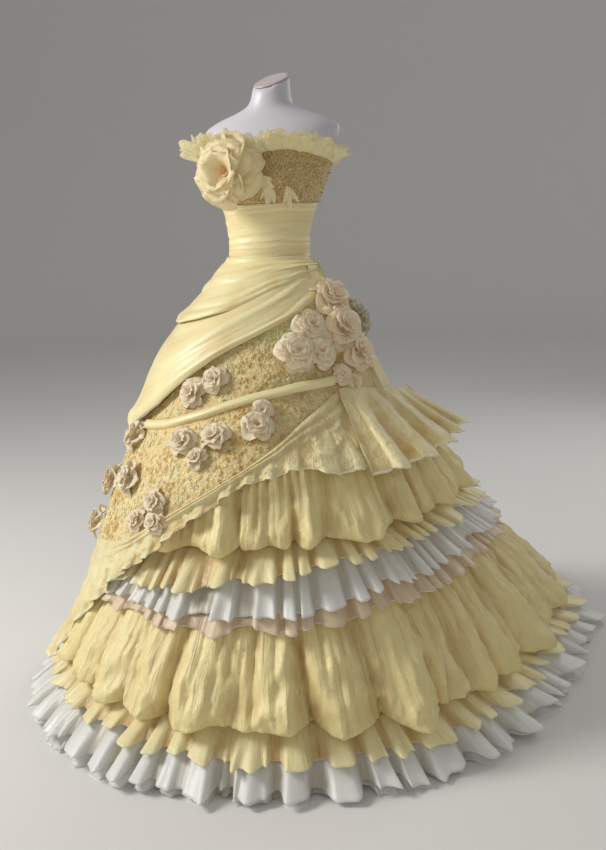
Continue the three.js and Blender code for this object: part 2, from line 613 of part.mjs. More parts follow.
// Seats a round piece on the outermost of some walls: square to the wall at its centre and clear all round.
function seatOn(walls, { angle, height }, reach) {
  const touch = (across, up) => {
    const found = walls.map(({ userData }) => surfaceAt(userData.face, across, up)).filter(Boolean);
    return found.sort((a, b) => b.dot(outward(across)) - a.dot(outward(across)))[0];
  };
  const centre = touch(angle, height);
  const turnOf = (length) => THREE.MathUtils.radToDeg(length / Math.hypot(centre.x, centre.y));
  const ringAt = (distance) => Array.from({ length: 8 }, (_, k) => {
    const turn = (Math.PI * k) / 4;
    return touch(angle + turnOf(distance * Math.cos(turn)), height + distance * Math.sin(turn));
  });
  const [rim, nearer] = [ringAt(reach), ringAt(reach / 2)];
  const along = (rim[0] ?? centre).clone().sub(rim[4] ?? centre);
  const down = (rim[6] ?? centre).clone().sub(rim[2] ?? centre);
  const face = down.cross(along).normalize();
  const heights = [...rim, ...nearer].filter(Boolean).map((point) => point.clone().sub(centre).dot(face));
  const lift = Math.max(0, ...heights);
  return { place: centre.addScaledVector(face, lift + SEAM_GAP), face };
}

function rose({ name, radius, place, face, colour, height, sides = 7 }) {
  const ring = (share, rise) => Array.from({ length: sides }, (_, k) => {
    const turn = (2 * Math.PI * k) / sides;
    return new THREE.Vector3(share * radius * Math.cos(turn), share * radius * Math.sin(turn), rise * height);
  });
  const mesh = ringSolid({
    name, rings: [ring(ROSE_FOOT, 0), ring(1, 0.45), ring(0.62, 0.95)], colour,
    bottom: new THREE.Vector3(), top: new THREE.Vector3(0, 0, 0.8 * height),
  });
  mesh.position.copy(place);
  mesh.quaternion.setFromUnitVectors(new THREE.Vector3(0, 0, 1), face);
  return mesh;
}

function roses(prefix, table, walls, colour) {
  return table.map((row, index) => rose({
    name: numbered(prefix, index), radius: row.radius, height: row.radius * 1.05, colour,
    ...seatOn(walls, row, row.radius * ROSE_FOOT),
  }));
}

function bustPieces(shell) {
  return BUST_PIECES.map(({ name, angle, height, radius, depth, sides, colour }) => rose({
    name, radius, height: depth, sides, colour: COLOURS[colour],
    ...seatOn([shell], { angle: angle + FULL_TURN, height }, radius * ROSE_FOOT),
  }));
}

function tulleTuft() {
  const seat = seatOn([{ userData: { face: skirtFace } }], TUFT, TUFT.radius * ROSE_FOOT);
  const { radius, depth } = TUFT;
  return rose({ name: 'tulle_tuft', radius, height: depth, sides: 10, colour: COLOURS.tulle, ...seat });
}

const shell = bodice();
const [lace, lowerSwathe, upperSwathe, tab, jabot] = drapes();
const overskirt = overskirtFlounce(lace);
const hipWalls = [overskirt, lace, lowerSwathe, upperSwathe, jabot];

const gown = new THREE.Group();
gown.add(dressForm(), neckCap(), ...stand());
gown.add(shell, necklineRuffle(), midriffWrap(), foundationSkirt(), ...tiers());
gown.add(overskirt, lace, laceFold(lace), lowerSwathe, upperSwathe, tab, jabot);
gown.add(...roses('hip_rose', HIP_ROSES, hipWalls, COLOURS.cream));
gown.add(...roses('lace_rose', LACE_ROSES, [lace], COLOURS.blush));
gown.add(...bustPieces(shell), tulleTuft());

export default gown;
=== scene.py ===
"""A ball gown on a dress form: the gathered cloth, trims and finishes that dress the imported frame.

Metres, +Z up, the gown's front towards -Y and the wearer's left towards +X. Angles run anticlockwise about
+Z from +X, in radians. Every cloth piece is a grid laid round the body: across runs from 0 to 1 along the
seam it hangs from, and down from 0 at that seam to 1 at its hem.
"""

import math
from contextlib import contextmanager

import bmesh
import bpy
import numpy as np
from bpy.props import FloatProperty, FloatVectorProperty, IntProperty, PointerProperty
from mathutils import Matrix, Vector, noise
from mathutils.bvhtree import BVHTree


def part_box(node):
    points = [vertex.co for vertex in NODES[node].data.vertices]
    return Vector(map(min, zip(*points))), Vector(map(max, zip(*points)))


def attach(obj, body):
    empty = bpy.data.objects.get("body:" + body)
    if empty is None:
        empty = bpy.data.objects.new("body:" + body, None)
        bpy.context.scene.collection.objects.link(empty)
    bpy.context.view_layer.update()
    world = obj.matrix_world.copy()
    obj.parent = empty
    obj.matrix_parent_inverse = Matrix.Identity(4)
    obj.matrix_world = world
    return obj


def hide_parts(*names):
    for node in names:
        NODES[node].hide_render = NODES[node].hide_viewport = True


bl_info = {
    "name": "Ball gown",
    "version": (1, 0, 0),
    "blender": (4, 5, 0),
    "location": "View3D > Sidebar > Gown",
    "description": "Dresses the frame of a ball gown on a dress form",
    "category": "Object",
}

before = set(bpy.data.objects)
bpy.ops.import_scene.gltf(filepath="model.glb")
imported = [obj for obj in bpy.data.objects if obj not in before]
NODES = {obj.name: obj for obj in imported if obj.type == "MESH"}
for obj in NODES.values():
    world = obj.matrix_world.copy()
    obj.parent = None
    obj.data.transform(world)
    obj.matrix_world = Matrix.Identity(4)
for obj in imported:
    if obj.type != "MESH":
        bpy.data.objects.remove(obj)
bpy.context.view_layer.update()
TURN = 2 * math.pi
ROOT = "root"

WELD = 1e-5  # corners nearer than this are one
GRIDS = {
    # how many faces each cloth has across and down
    "foundation_skirt": (200, 24),
    "puff_tier_upper": (700, 28),
    "puff_tier_lower": (840, 38),
    "middle_ruffle_yellow": (980, 9),
    "middle_ruffle_white": (980, 9),
    "middle_ruffle_blush": (980, 9),
    "lower_ruffle_yellow": (1080, 9),
    "lower_ruffle_white": (1080, 9),
    "lower_veil": (1080, 9),
    "overskirt_flounce": (280, 46),
    "swathe_lower": (140, 48),
    "swathe_upper": (140, 48),
    "waist_tab": (24, 24),
    "hip_jabot": (130, 40),
    "lace_panel": (160, 50),
    "lace_fold": (120, 10),
    "bodice_shell": (160, 20),
    "midriff_wrap": (160, 54),
}

# Measuring the frame


def node_points(name):
    """A frame piece's corners as an array."""
    mesh = NODES[name].data
    points = np.zeros(len(mesh.vertices) * 3)
    mesh.vertices.foreach_get("co", points)
    return points.reshape(-1, 3)


def node_tree(name):
    """A search tree over one frame piece."""
    mesh = NODES[name].data
    return BVHTree.FromPolygons([v.co for v in mesh.vertices], [p.vertices for p in mesh.polygons])


def smoothed(grid, across, down):
    """A grid of values blurred along its rows, which close on themselves, and down its columns."""
    for axis, spread in ((1, across), (0, down)):
        if spread <= 0:
            continue
        reach = int(3 * spread) + 1
        weights = np.exp(-0.5 * (np.arange(-reach, reach + 1) / spread) ** 2)
        weights /= weights.sum()
        pads = [(0, 0), (0, 0)]
        pads[axis] = (reach, reach)
        padded = np.pad(grid, pads, mode="wrap" if axis == 1 else "edge")
        count = grid.shape[axis]
        grid = sum(w * np.take(padded, range(k, k + count), axis=axis) for k, w in enumerate(weights))
    return grid


class Skin:
    """How far a frame piece's outer face stands from the upright axis, by angle and height."""

    COLUMNS = 144
    ROW_STEP = 0.007
    FAR = 3.0

    def __init__(self, node, blur_across=1.6, blur_down=1.2):
        low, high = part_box(node)
        self.low = low.z
        self.rows = max(4, int((high.z - low.z) / self.ROW_STEP) + 1)
        self.high = high.z
        tree = node_tree(node)
        grid = np.full((self.rows, self.COLUMNS), np.nan)
        for row, height in enumerate(np.linspace(self.low, self.high, self.rows)):
            for column in range(self.COLUMNS):
                turn = TURN * column / self.COLUMNS
                way = Vector((math.cos(turn), math.sin(turn), 0))
                place, _, _, distance = tree.ray_cast(way * self.FAR + Vector((0, 0, height)), -way)
                if place is not None and distance < self.FAR:
                    grid[row, column] = self.FAR - distance
        self.grid = smoothed(self.filled(grid), blur_across, blur_down)

    @staticmethod
    def filled(grid):
        """Missing values taken from the nearest ones, first in their own column, then in the next."""
        rows = np.arange(grid.shape[0])
        for column in range(grid.shape[1]):
            known = ~np.isnan(grid[:, column])
            if known.any():
                grid[:, column] = np.interp(rows, rows[known], grid[known, column])
        columns = np.arange(grid.shape[1])
        known = ~np.isnan(grid[0])
        for row in range(grid.shape[0]):
            grid[row] = np.interp(columns, columns[known], grid[row, known], period=grid.shape[1])
        return grid

    def __call__(self, angle, height):
        column = np.mod(angle, TURN) / TURN * self.COLUMNS
        row = np.clip((height - self.low) / (self.high - self.low), 0, 1) * (self.rows - 1)
        c = np.floor(column).astype(int) % self.COLUMNS
        r = np.minimum(np.floor(row).astype(int), self.rows - 2)
        s, t = column - np.floor(column), row - r
        d = (c + 1) % self.COLUMNS
        upper = self.grid[r, c] * (1 - s) + self.grid[r, d] * s
        lower = self.grid[r + 1, c] * (1 - s) + self.grid[r + 1, d] * s
        return upper * (1 - t) + lower * t


class Edges:
    """The edges of a frame piece that wraps the body, and the angles where it starts and stops."""

    BEHIND = math.radians(-200)  # open pieces start and stop past this angle, at the wearer's right back
    WHOLE = math.radians(340)  # a piece that spans more than this is closed
    COUNT = 180

    def __init__(self, node):
        points = node_points(node)
        pairs = np.zeros(len(NODES[node].data.edges) * 2, np.int32)
        NODES[node].data.edges.foreach_get("vertices", pairs)
        pairs = pairs.reshape(-1, 2)
        angle = np.mod(np.arctan2(points[:, 1], points[:, 0]) - self.BEHIND, TURN) + self.BEHIND
        self.start, self.stop = float(angle.min()), float(angle.max())
        self.closed = self.stop - self.start > self.WHOLE
        if self.closed:
            self.angles = self.BEHIND + TURN * np.arange(self.COUNT) / self.COUNT
        else:
            self.angles = np.linspace(self.start + 1e-4, self.stop - 1e-4, self.COUNT)
        spans = [self.cut(points, pairs, at) for at in self.angles]
        self.bottoms, self.tops = np.array(spans).T

    @staticmethod
    def cut(points, pairs, angle):
        """The lowest and highest points where the upright half plane at an angle crosses the piece."""
        beyond = points[:, 1] * math.cos(angle) - points[:, 0] * math.sin(angle)
        outward = points[:, 0] * math.cos(angle) + points[:, 1] * math.sin(angle)
        first, second = beyond[pairs[:, 0]], beyond[pairs[:, 1]]
        crossing = first * second <= 0
        crossing &= np.abs(first - second) > 1e-9
        first, second, ends = first[crossing], second[crossing], pairs[crossing]
        t = first / (first - second)
        ahead = outward[ends[:, 0]] * (1 - t) + outward[ends[:, 1]] * t > 0
        heights = (points[ends[:, 0], 2] * (1 - t) + points[ends[:, 1], 2] * t)[ahead]
        return heights.min(), heights.max()

    def read(self, values, angle):
        return np.interp(angle, self.angles, values, period=TURN if self.closed else None)

    def lower(self, angle):
        return self.read(self.bottoms, angle)

    def between(self, angle, down):
        """The height at an angle, from the upper edge at 0 to the lower edge at 1."""
        top = self.read(self.tops, angle)
        return top + (self.lower(angle) - top) * down


FOUNDATION = Skin("foundation_skirt", 1.0, 0.8)


def standout(node):
    """How far a tier stands out from the foundation at its fullest, by angle, and the most of that."""
    skin = Skin(node, 0, 0)
    heights = np.linspace(skin.low, skin.high, skin.rows)[:, None]
    angles = TURN * np.arange(skin.COLUMNS)[None, :] / skin.COLUMNS
    fullest = (skin.grid - FOUNDATION(angles + 0 * heights, heights + 0 * angles)).max(axis=0, keepdims=True)
    fullest = smoothed(fullest, 4, 0)[0]
    places = angles[0]

    def reach(angle):
        return np.interp(angle, places, fullest, period=TURN)

    return reach, float(reach(np.linspace(0, TURN, 90)).max())


# Fold shapes


def ripple(angle, seed, low, high, count=4):
    """A smooth uneven wave that closes round the body, mostly between -1 and 1."""
    draw = np.random.default_rng(seed)
    total = np.zeros_like(angle)
    for _ in range(count):
        turns = int(draw.integers(low, high + 1))
        total += draw.uniform(0.6, 1) * np.sin(turns * angle + draw.uniform(0, TURN))
    return total / math.sqrt(count)


def lobe(phase, sharpness=0.8):
    """Round ridges with sharp valleys between them, from -1 to 1."""
    return 2 * np.abs(np.sin(phase / 2)) ** sharpness - 1


def creases(angle, down, seed, low, high, lean, count=3):
    """Crossing pressed creases, as in crisp organza, from about -1 to 1."""
    draw = np.random.default_rng(seed)
    total = np.zeros_like(angle)
    for _ in range(count):
        turns = 2 * int(draw.integers(low, high + 1) // 2)
        phase = turns * angle + draw.uniform(-lean, lean) * down
        phase = phase + 1.1 * ripple(angle, int(draw.integers(1e6)), 4, 11)
        total += 1 - 2 * np.abs(np.sin(phase / 2)) ** 0.7
    return total / count


CRUMPLE = (0.8, 2.1, 3, 0.85, 1.7)  # the noise's roughness, step between layers, layers, offset and gain


def crumpled(points, scale, stretch, seed):
    """The ridges and dents of crushed cloth, from about -1 to 1. stretch draws them out upright."""
    shift = Vector((7.3 * seed, 3.1 * seed, 5.7 * seed))
    ways = Vector((scale, scale, scale / stretch))
    values = [noise.ridged_multi_fractal(Vector(point) * ways + shift, *CRUMPLE) for point in points]
    values = np.array(values)
    return np.clip((values - values.mean()) / (2 * values.std() + 1e-9), -1.2, 1.2)


def pushed(points, amount):
    """Points moved away from the upright axis."""
    radius = np.linalg.norm(points[:, :2], axis=1)
    moved = points.copy()
    moved[:, :2] *= (1 + amount / radius)[:, None]
    return moved


def axes_matrix(*axes):
    """Turns a shape so that its own axes lie along three given ones."""
    return Matrix(axes).transposed().to_4x4()


def curve(at, places, values):
    """A smooth line through a few points."""
    places, values = np.asarray(places, float), np.asarray(values, float)
    slopes = np.gradient(values, places)
    k = np.clip(np.searchsorted(places, at, side="right") - 1, 0, len(places) - 2)
    width = places[k + 1] - places[k]
    t = (at - places[k]) / width
    return (
        values[k] * (1 + 2 * t) * (1 - t) ** 2
        + slopes[k] * width * t * (1 - t) ** 2
        + values[k + 1] * t * t * (3 - 2 * t)
        + slopes[k + 1] * width * t * t * (t - 1)
    )


def ease(value, start, stop):
    """0 before start, 1 after stop and smooth between them."""
    t = np.clip((value - start) / (stop - start), 0, 1)
    return t * t * (3 - 2 * t)


def polar(angle, radius, height, slide=0.0):
    """Points at an angle, a distance from the axis and a height, moved sideways along the seam."""
    turned = angle + slide / np.maximum(radius, 0.05)
    return np.stack([radius * np.cos(turned), radius * np.sin(turned), height], axis=-1)


# Making pieces


@contextmanager
def building(mesh, start=None):
    """A bmesh, begun from another mesh if one is given, that is written to a mesh at the end."""
    bm = bmesh.new()
    if start:
        bm.from_mesh(start)
    yield bm
    bm.to_mesh(mesh)
    bm.free()


def read_values(mesh, label):
    """One of a mesh's values, for every corner."""
    values = np.zeros(len(mesh.vertices), np.float32)
    mesh.attributes[label].data.foreach_get("value", values)
    return values


def write_values(mesh, label, values):
    held = mesh.attributes.get(label) or mesh.attributes.new(label, "FLOAT", "POINT")
    held.data.foreach_set("value", values.astype(np.float32))


def new_piece(name, mesh, finish, replaced=()):
    """Links a finished mesh as a piece of the gown that rides on the form."""
    piece = bpy.data.objects.new(name, mesh)
    bpy.context.scene.collection.objects.link(piece)
    mesh.materials.append(MATERIALS[finish])
    mesh.polygons.foreach_set("use_smooth", np.ones(len(mesh.polygons), bool))
    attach(piece, ROOT)
    if replaced:
        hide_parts(*replaced)
    return piece


def grid_mesh(name, columns, rows, place, closed=False):
    """A grid of cloth and the size of its flat cut.

    place takes across and down and gives points and a fold value, 0 in the valleys and 1 on the ridges, which
    paints shade into the cloth's colour.
    """
    mesh = bpy.data.meshes.new(name)
    with building(mesh) as bm:
        bmesh.ops.create_grid(bm, x_segments=columns, y_segments=rows, size=1)
    flat = np.zeros(len(mesh.vertices) * 3)
    mesh.vertices.foreach_get("co", flat)
    flat = flat.reshape(-1, 3)
    across, down = (flat[:, 0] + 1) / 2, (1 - flat[:, 1]) / 2
    points, fold = place(across, down)
    mesh.vertices.foreach_set("co", points.ravel())
    # the fold value, by which the finishes paint shade into the valleys
    write_values(mesh, "fold", np.clip(fold, 0, 1))
    write_values(mesh, "hem", down)
    order = np.lexsort((np.round(across * columns), np.round(down * rows)))
    width, length = cut_size(points[order].reshape(rows + 1, columns + 1, 3))
    corners = np.zeros(len(mesh.loops), np.int32)
    mesh.loops.foreach_get("vertex_index", corners)
    layer = mesh.uv_layers.new(name="UVMap")
    places = np.stack([across[corners] * width, (1 - down[corners]) * length], axis=-1)
    layer.data.foreach_set("uv", places.astype(np.float32).ravel())
    if closed:
        close_seam(mesh)
    return mesh, (width, length)


def cut_size(lattice):
    """The width and length of the flat cut that a grid of cloth was made from."""
    length = np.linalg.norm(np.diff(lattice, axis=0), axis=2).sum(axis=0).mean()
    along = np.linalg.norm(np.diff(lattice, axis=1), axis=2).sum(axis=1)
    return round(float(along.mean()), 3), round(float(length), 3)


def close_seam(mesh):
    """Joins the first and last columns of a tube."""
    with building(mesh, mesh) as bm:
        rim = [v for v in bm.verts if v.is_boundary]
        bmesh.ops.remove_doubles(bm, verts=rim, dist=WELD)


HEM_SHARE = 0.035  # how much of a cloth's depth its rolled hem takes
HEM_FROM = 0.96  # the corners from here down are in the hem
PALE_FROM = (0.95, 0.968)  # between these the cloth's colour changes to its hem's


def thicken(piece, wall, hem_wall=None):
    """Gives a cloth its wall, inwards from its outer face, and a thicker rolled hem."""
    solid = piece.modifiers.new("wall", "SOLIDIFY")
    solid.thickness = hem_wall or wall
    solid.offset = -1
    if hem_wall is None:
        return
    down = read_values(piece.data, "hem")
    group = piece.vertex_groups.new(name="hem")
    group.add([int(k) for k in np.nonzero(down >= HEM_FROM)[0]], 1.0, "REPLACE")
    solid.vertex_group = "hem"
    solid.thickness_vertex_group = wall / hem_wall


def narrow_hem(place, rows):
    """The same cloth with its last row squeezed into its rolled hem."""
    last = (rows - 1) / rows

    def squeezed(across, down):
        body, hem = down / last * (1 - HEM_SHARE), 1 - HEM_SHARE * (1 - down) / (1 - last)
        return place(across, np.where(down <= last + 1e-6, body, hem))

    return squeezed


def cloth(
    node, place, finish, *, closed=False, hem=False
):
    """A sheet of cloth that stands for a frame piece."""
    sizes = bpy.context.scene.gown_sizes
    columns, rows = GRIDS[node]
    mesh, cut = grid_mesh(node, columns, rows, narrow_hem(place, rows) if hem else place, closed)
    NODES[node].name = node + "_frame"
    mesh.name = node
    piece = new_piece(node + "_cloth", mesh, finish, [node])
    thicken(piece, sizes.wall, sizes.hem_wall if hem else None)


# Node groups and materials


def add(tree, kind, inputs=None, **settings):
    """Adds a shader node, sets its properties and fills or links its inputs."""
    node = tree.nodes.new(kind)
    for key, value in settings.items():
        setattr(node, key, value)
    for key, value in (inputs or {}).items():
        if isinstance(value, bpy.types.NodeSocket):
            tree.links.new(value, node.inputs[key])
        else:
            node.inputs[key].default_value = value
    return node


def math_node(tree, operation, first, second=0.0, **more):
    return add(tree, "ShaderNodeMath", {0: first, 1: second}, operation=operation, **more).outputs[0]


def new_group(name, inputs, outputs):
    """A node group with named sockets, and its input and output nodes."""
    group = bpy.data.node_groups.new(name, "ShaderNodeTree")
    for label, kind, value in inputs:
        socket = group.interface.new_socket(name=label, in_out="INPUT", socket_type=kind)
        socket.default_value = value
    for label, kind in outputs:
        group.interface.new_socket(name=label, in_out="OUTPUT", socket_type=kind)
    return group, add(group, "NodeGroupInput"), add(group, "NodeGroupOutput")


def ramp(tree, value, low, high, start=0.0, stop=1.0):
    """A value carried from between start and stop to between low and high."""
    given = {"Value": value, "From Min": start, "From Max": stop, "To Min": low, "To Max": high}
    return add(tree, "ShaderNodeMapRange", given).outputs[0]


def mixed(tree, factor, first, second):
    """A colour between two others."""
    given = {"Factor": factor, "A": first, "B": second}
    return add(tree, "ShaderNodeMix", given, data_type="RGBA").outputs["Result"]


def raised(tree, height, strength, distance):
    """A normal from a height."""
    given = {"Height": height, "Strength": strength, "Distance": distance}
    return add(tree, "ShaderNodeBump", given).outputs[0]


def noise_value(tree, places, scale, detail, **more):
    given = {"Vector": places, "Scale": scale, "Detail": detail, **more}
    return add(tree, "ShaderNodeTexNoise", given).outputs["Fac"]


def own_places(tree):
    """Places in the piece's own metres."""
    return add(tree, "ShaderNodeTexCoord").outputs["Object"]


def cut_places(tree):
    """Places across and up a cloth's flat cut, in metres."""
    places = add(tree, "ShaderNodeUVMap", uv_map="UVMap").outputs[0]
    return add(tree, "ShaderNodeSeparateXYZ", {0: places}).outputs


def from_middle(tree, value):
    """How far a value is from a half, either way."""
    return math_node(tree, "ABSOLUTE", math_node(tree, "SUBTRACT", value, 0.5))


def weave_group():
    """Fine crossing threads on a cloth's own grid."""
    group, given, result = new_group(
        "Weave", [("Threads", "NodeSocketFloat", 900.0)], [("Height", "NodeSocketFloat")]
    )
    parts = cut_places(group)
    warp, weft = (
        math_node(group, "SINE", math_node(group, "MULTIPLY", parts[axis], given.outputs["Threads"]))
        for axis in (0, 1)
    )
    crossed = math_node(group, "MULTIPLY_ADD", math_node(group, "MULTIPLY", warp, weft), 0.5)
    group.links.new(crossed, result.inputs["Height"])
    return group


def crinkle_group():
    """The soft random crush of organza: a height, and a mask for changes of colour and gloss."""
    group, given, result = new_group(
        "Crinkle",
        [("Scale", "NodeSocketFloat", 22.0), ("Sharpness", "NodeSocketFloat", 0.6)],
        [("Height", "NodeSocketFloat"), ("Mask", "NodeSocketFloat")],
    )
    places = own_places(group)
    sharpness = given.outputs["Sharpness"]
    broad = noise_value(group, places, given.outputs["Scale"], 4.0, Roughness=sharpness, Distortion=0.8)
    height = math_node(group, "SUBTRACT", 0.5, from_middle(group, broad))
    group.links.new(height, result.inputs["Height"])
    group.links.new(noise_value(group, places, 5.0, 2.0), result.inputs["Mask"])
    return group


def streak_group():
    """Fine gathers that run along a cloth, in its own metres."""
    group, given, result = new_group(
        "Streaks",
        [("Across", "NodeSocketFloat", 80.0), ("Along", "NodeSocketFloat", 6.0)],
        [("Height", "NodeSocketFloat")],
    )
    parts = cut_places(group)
    across = math_node(group, "MULTIPLY", parts[0], given.outputs["Across"])
    along = math_node(group, "MULTIPLY", parts[1], given.outputs["Along"])
    drawn = add(group, "ShaderNodeCombineXYZ", {0: across, 1: along}).outputs[0]
    gathers = noise_value(group, drawn, 1.0, 3.0, Distortion=0.5)
    height = math_node(group, "MULTIPLY_ADD", from_middle(group, gathers), -3.0)
    height.node.inputs[2].default_value = 1.0
    group.links.new(height, result.inputs["Height"])
    return group


def fold_colour_group():
    """Colour by the folds: painted shade, deeper and warmer, in the valleys, painted highlights and shade
    along the fine gathers, and a paler rolled hem.
    """
    group, given, result = new_group(
        "Fold colour",
        [
            ("Ridge", "NodeSocketColor", (1, 1, 1, 1)),
            ("Valley", "NodeSocketColor", (0.5, 0.4, 0.2, 1)),
            ("Hem", "NodeSocketColor", (1, 1, 1, 1)),
            ("Mask", "NodeSocketFloat", 0.5),
            ("Streaks", "NodeSocketFloat", 0.5),
        ],
        [("Color", "NodeSocketColor"), ("Fold", "NodeSocketFloat"), ("Edge", "NodeSocketFloat")],
    )
    fold = add(group, "ShaderNodeAttribute", attribute_name="fold").outputs["Fac"]
    down = add(group, "ShaderNodeAttribute", attribute_name="hem").outputs["Fac"]
    uneven = math_node(group, "MULTIPLY", math_node(group, "SUBTRACT", given.outputs["Mask"], 0.5), 0.7)
    # painted highlights and shade along the fine gathers
    streaked = math_node(group, "MULTIPLY", math_node(group, "SUBTRACT", given.outputs["Streaks"], 0.5), 0.45)
    varied = math_node(group, "ADD", uneven, streaked)
    level = math_node(group, "ADD", fold, varied, use_clamp=True)
    # painted shade: the valley colour where the cloth folds in, the ridge colour where it stands out
    body = mixed(group, level, given.outputs["Valley"], given.outputs["Ridge"])
    edge = ramp(group, down, 0.0, 1.0, *PALE_FROM)
    group.links.new(mixed(group, edge, body, given.outputs["Hem"]), result.inputs["Color"])
    group.links.new(level, result.inputs["Fold"])
    group.links.new(edge, result.inputs["Edge"])
    return group


def placed(tree, group, **inputs):
    """A node group in a material, with its own values."""
    return add(tree, "ShaderNodeGroup", inputs, node_tree=group).outputs


def new_material(name):
    """An empty material with a Principled shader, and its node tree and shader."""
    material = bpy.data.materials.new(name)
    material.use_nodes = True
    tree = material.node_tree
    tree.nodes.clear()
    shader = add(tree, "ShaderNodeBsdfPrincipled")
    output = add(tree, "ShaderNodeOutputMaterial")
    tree.links.new(shader.outputs[0], output.inputs["Surface"])
    return material, tree, shader


def link(tree, shader, **sockets):
    """Links outputs to a shader's inputs, whose names are given with underscores."""
    for key, value in sockets.items():
        tree.links.new(value, shader.inputs[key.replace("_", " ").title()])


def organza(
    name, ridge, valley, *, alpha=1.0, crush=22.0, bump=0.5, streaks=(80.0, 6.0), painted_glow=0.03, rim=0.62
):
    """A translucent crisp cloth, with painted shade, warmer and deeper, in its folds.

    crush is how close its crinkles are, streaks is how close its fine gathers are across it and along it,
    glow is a painted glow, how strongly it gives off its own colour in place of light soaking through it, and
    rim is how white its rolled hem is.
    """
    material, tree, shader = new_material(name)
    crinkle = placed(tree, GROUPS["crinkle"], Scale=crush)
    fine = placed(tree, GROUPS["streaks"], Across=streaks[0], Along=streaks[1])["Height"]
    pale = tuple(rim + (1 - rim) * c for c in ridge)
    colour = placed(tree, GROUPS["fold"], Ridge=(*ridge, 1), Valley=(*valley, 1), Hem=(*pale, 1),
                    Mask=crinkle["Mask"], Streaks=fine)
    threads = math_node(tree, "MULTIPLY", placed(tree, GROUPS["weave"], Threads=2600.0)["Height"], 0.03)
    gathers = math_node(tree, "MULTIPLY", fine, 0.35)
    height = math_node(tree, "ADD", crinkle["Height"], math_node(tree, "ADD", threads, gathers))
    # the colour, painted shade and all, is also given off as a painted glow
    link(tree, shader, base_color=colour["Color"], emission_color=colour["Color"],
         normal=raised(tree, height, bump, 0.007), roughness=ramp(tree, fine, 0.55, 0.3))
    shader.inputs["Sheen Weight"].default_value = 0.12
    shader.inputs["Sheen Roughness"].default_value = 0.35
    shader.inputs["Emission Strength"].default_value = painted_glow
    if alpha < 1:
        sheer = ramp(tree, colour["Fold"], min(1, alpha + 0.1), alpha)
        link(tree, shader, alpha=math_node(tree, "MAXIMUM", sheer, colour["Edge"]))
    return material


def lace(name, ground, thread, cell):
    """A net closely covered with corded flowers. cell is how many flowers there are to a metre."""
    material, tree, shader = new_material(name)
    places = own_places(tree)
    flowers, cords = (
        add(tree, "ShaderNodeTexVoronoi", {"Vector": places, "Scale": scale}, feature=feature).outputs
        for scale, feature in ((cell, "F1"), (cell * 0.55, "DISTANCE_TO_EDGE"))
    )
    cord = ramp(tree, cords["Distance"], 1.0, 0.0, stop=0.12)
    petal = ramp(tree, flowers["Distance"], 1.0, 0.0, 0.25, 0.65)
    corded = math_node(tree, "MAXIMUM", cord, petal)
    mask = placed(tree, GROUPS["crinkle"], Scale=30.0)["Mask"]
    shade = math_node(tree, "MULTIPLY", corded, math_node(tree, "ADD", mask, 0.35))
    link(tree, shader, base_color=mixed(tree, shade, (*ground, 1), (*thread, 1)),
         normal=raised(tree, corded, 0.7, 0.0015), roughness=ramp(tree, corded, 0.7, 0.45))
    shader.inputs["Sheen Weight"].default_value = 0.2
    return material


def tinted(name, smoothest, roughest, metallic=0.0):
    """Beads and embroidered flowers, each in the tint that its own corners carry."""
    material, tree, shader = new_material(name)
    tint = add(tree, "ShaderNodeAttribute", attribute_name="tint").outputs["Color"]
    uneven = placed(tree, GROUPS["crinkle"], Scale=260.0)["Height"]
    link(tree, shader, base_color=tint, roughness=ramp(tree, uneven, roughest, smoothest),
         normal=raised(tree, uneven, 0.3, 0.001))
    shader.inputs["Metallic"].default_value = metallic
    return material


def moulded_shell(name, colour):
    """The dress form's satin shell, with the faint unevenness of a moulding."""
    material, tree, shader = new_material(name)
    uneven = placed(tree, GROUPS["crinkle"], Scale=14.0, Sharpness=0.4)
    darker = tuple(0.9 * c for c in colour)
    link(tree, shader, base_color=mixed(tree, uneven["Mask"], (*darker, 1), (*colour, 1)),
         normal=raised(tree, uneven["Height"], 0.04, 0.003), roughness=ramp(tree, uneven["Mask"], 0.36, 0.5))
    shader.inputs["Coat Weight"].default_value = 0.12
    return material


def plain(name, colour, scale, detail, smoothest, roughest, *, bump=0.0, metallic=0.0):
    """One colour whose gloss varies a little, as on turned steel or a swept floor."""
    material, tree, shader = new_material(name)
    marks = noise_value(tree, own_places(tree), scale, detail)
    link(tree, shader, roughness=ramp(tree, marks, smoothest, roughest))
    if bump:
        link(tree, shader, normal=raised(tree, marks, bump, 0.001))
    shader.inputs["Base Color"].default_value = (*colour, 1)
    shader.inputs["Metallic"].default_value = metallic
    return material


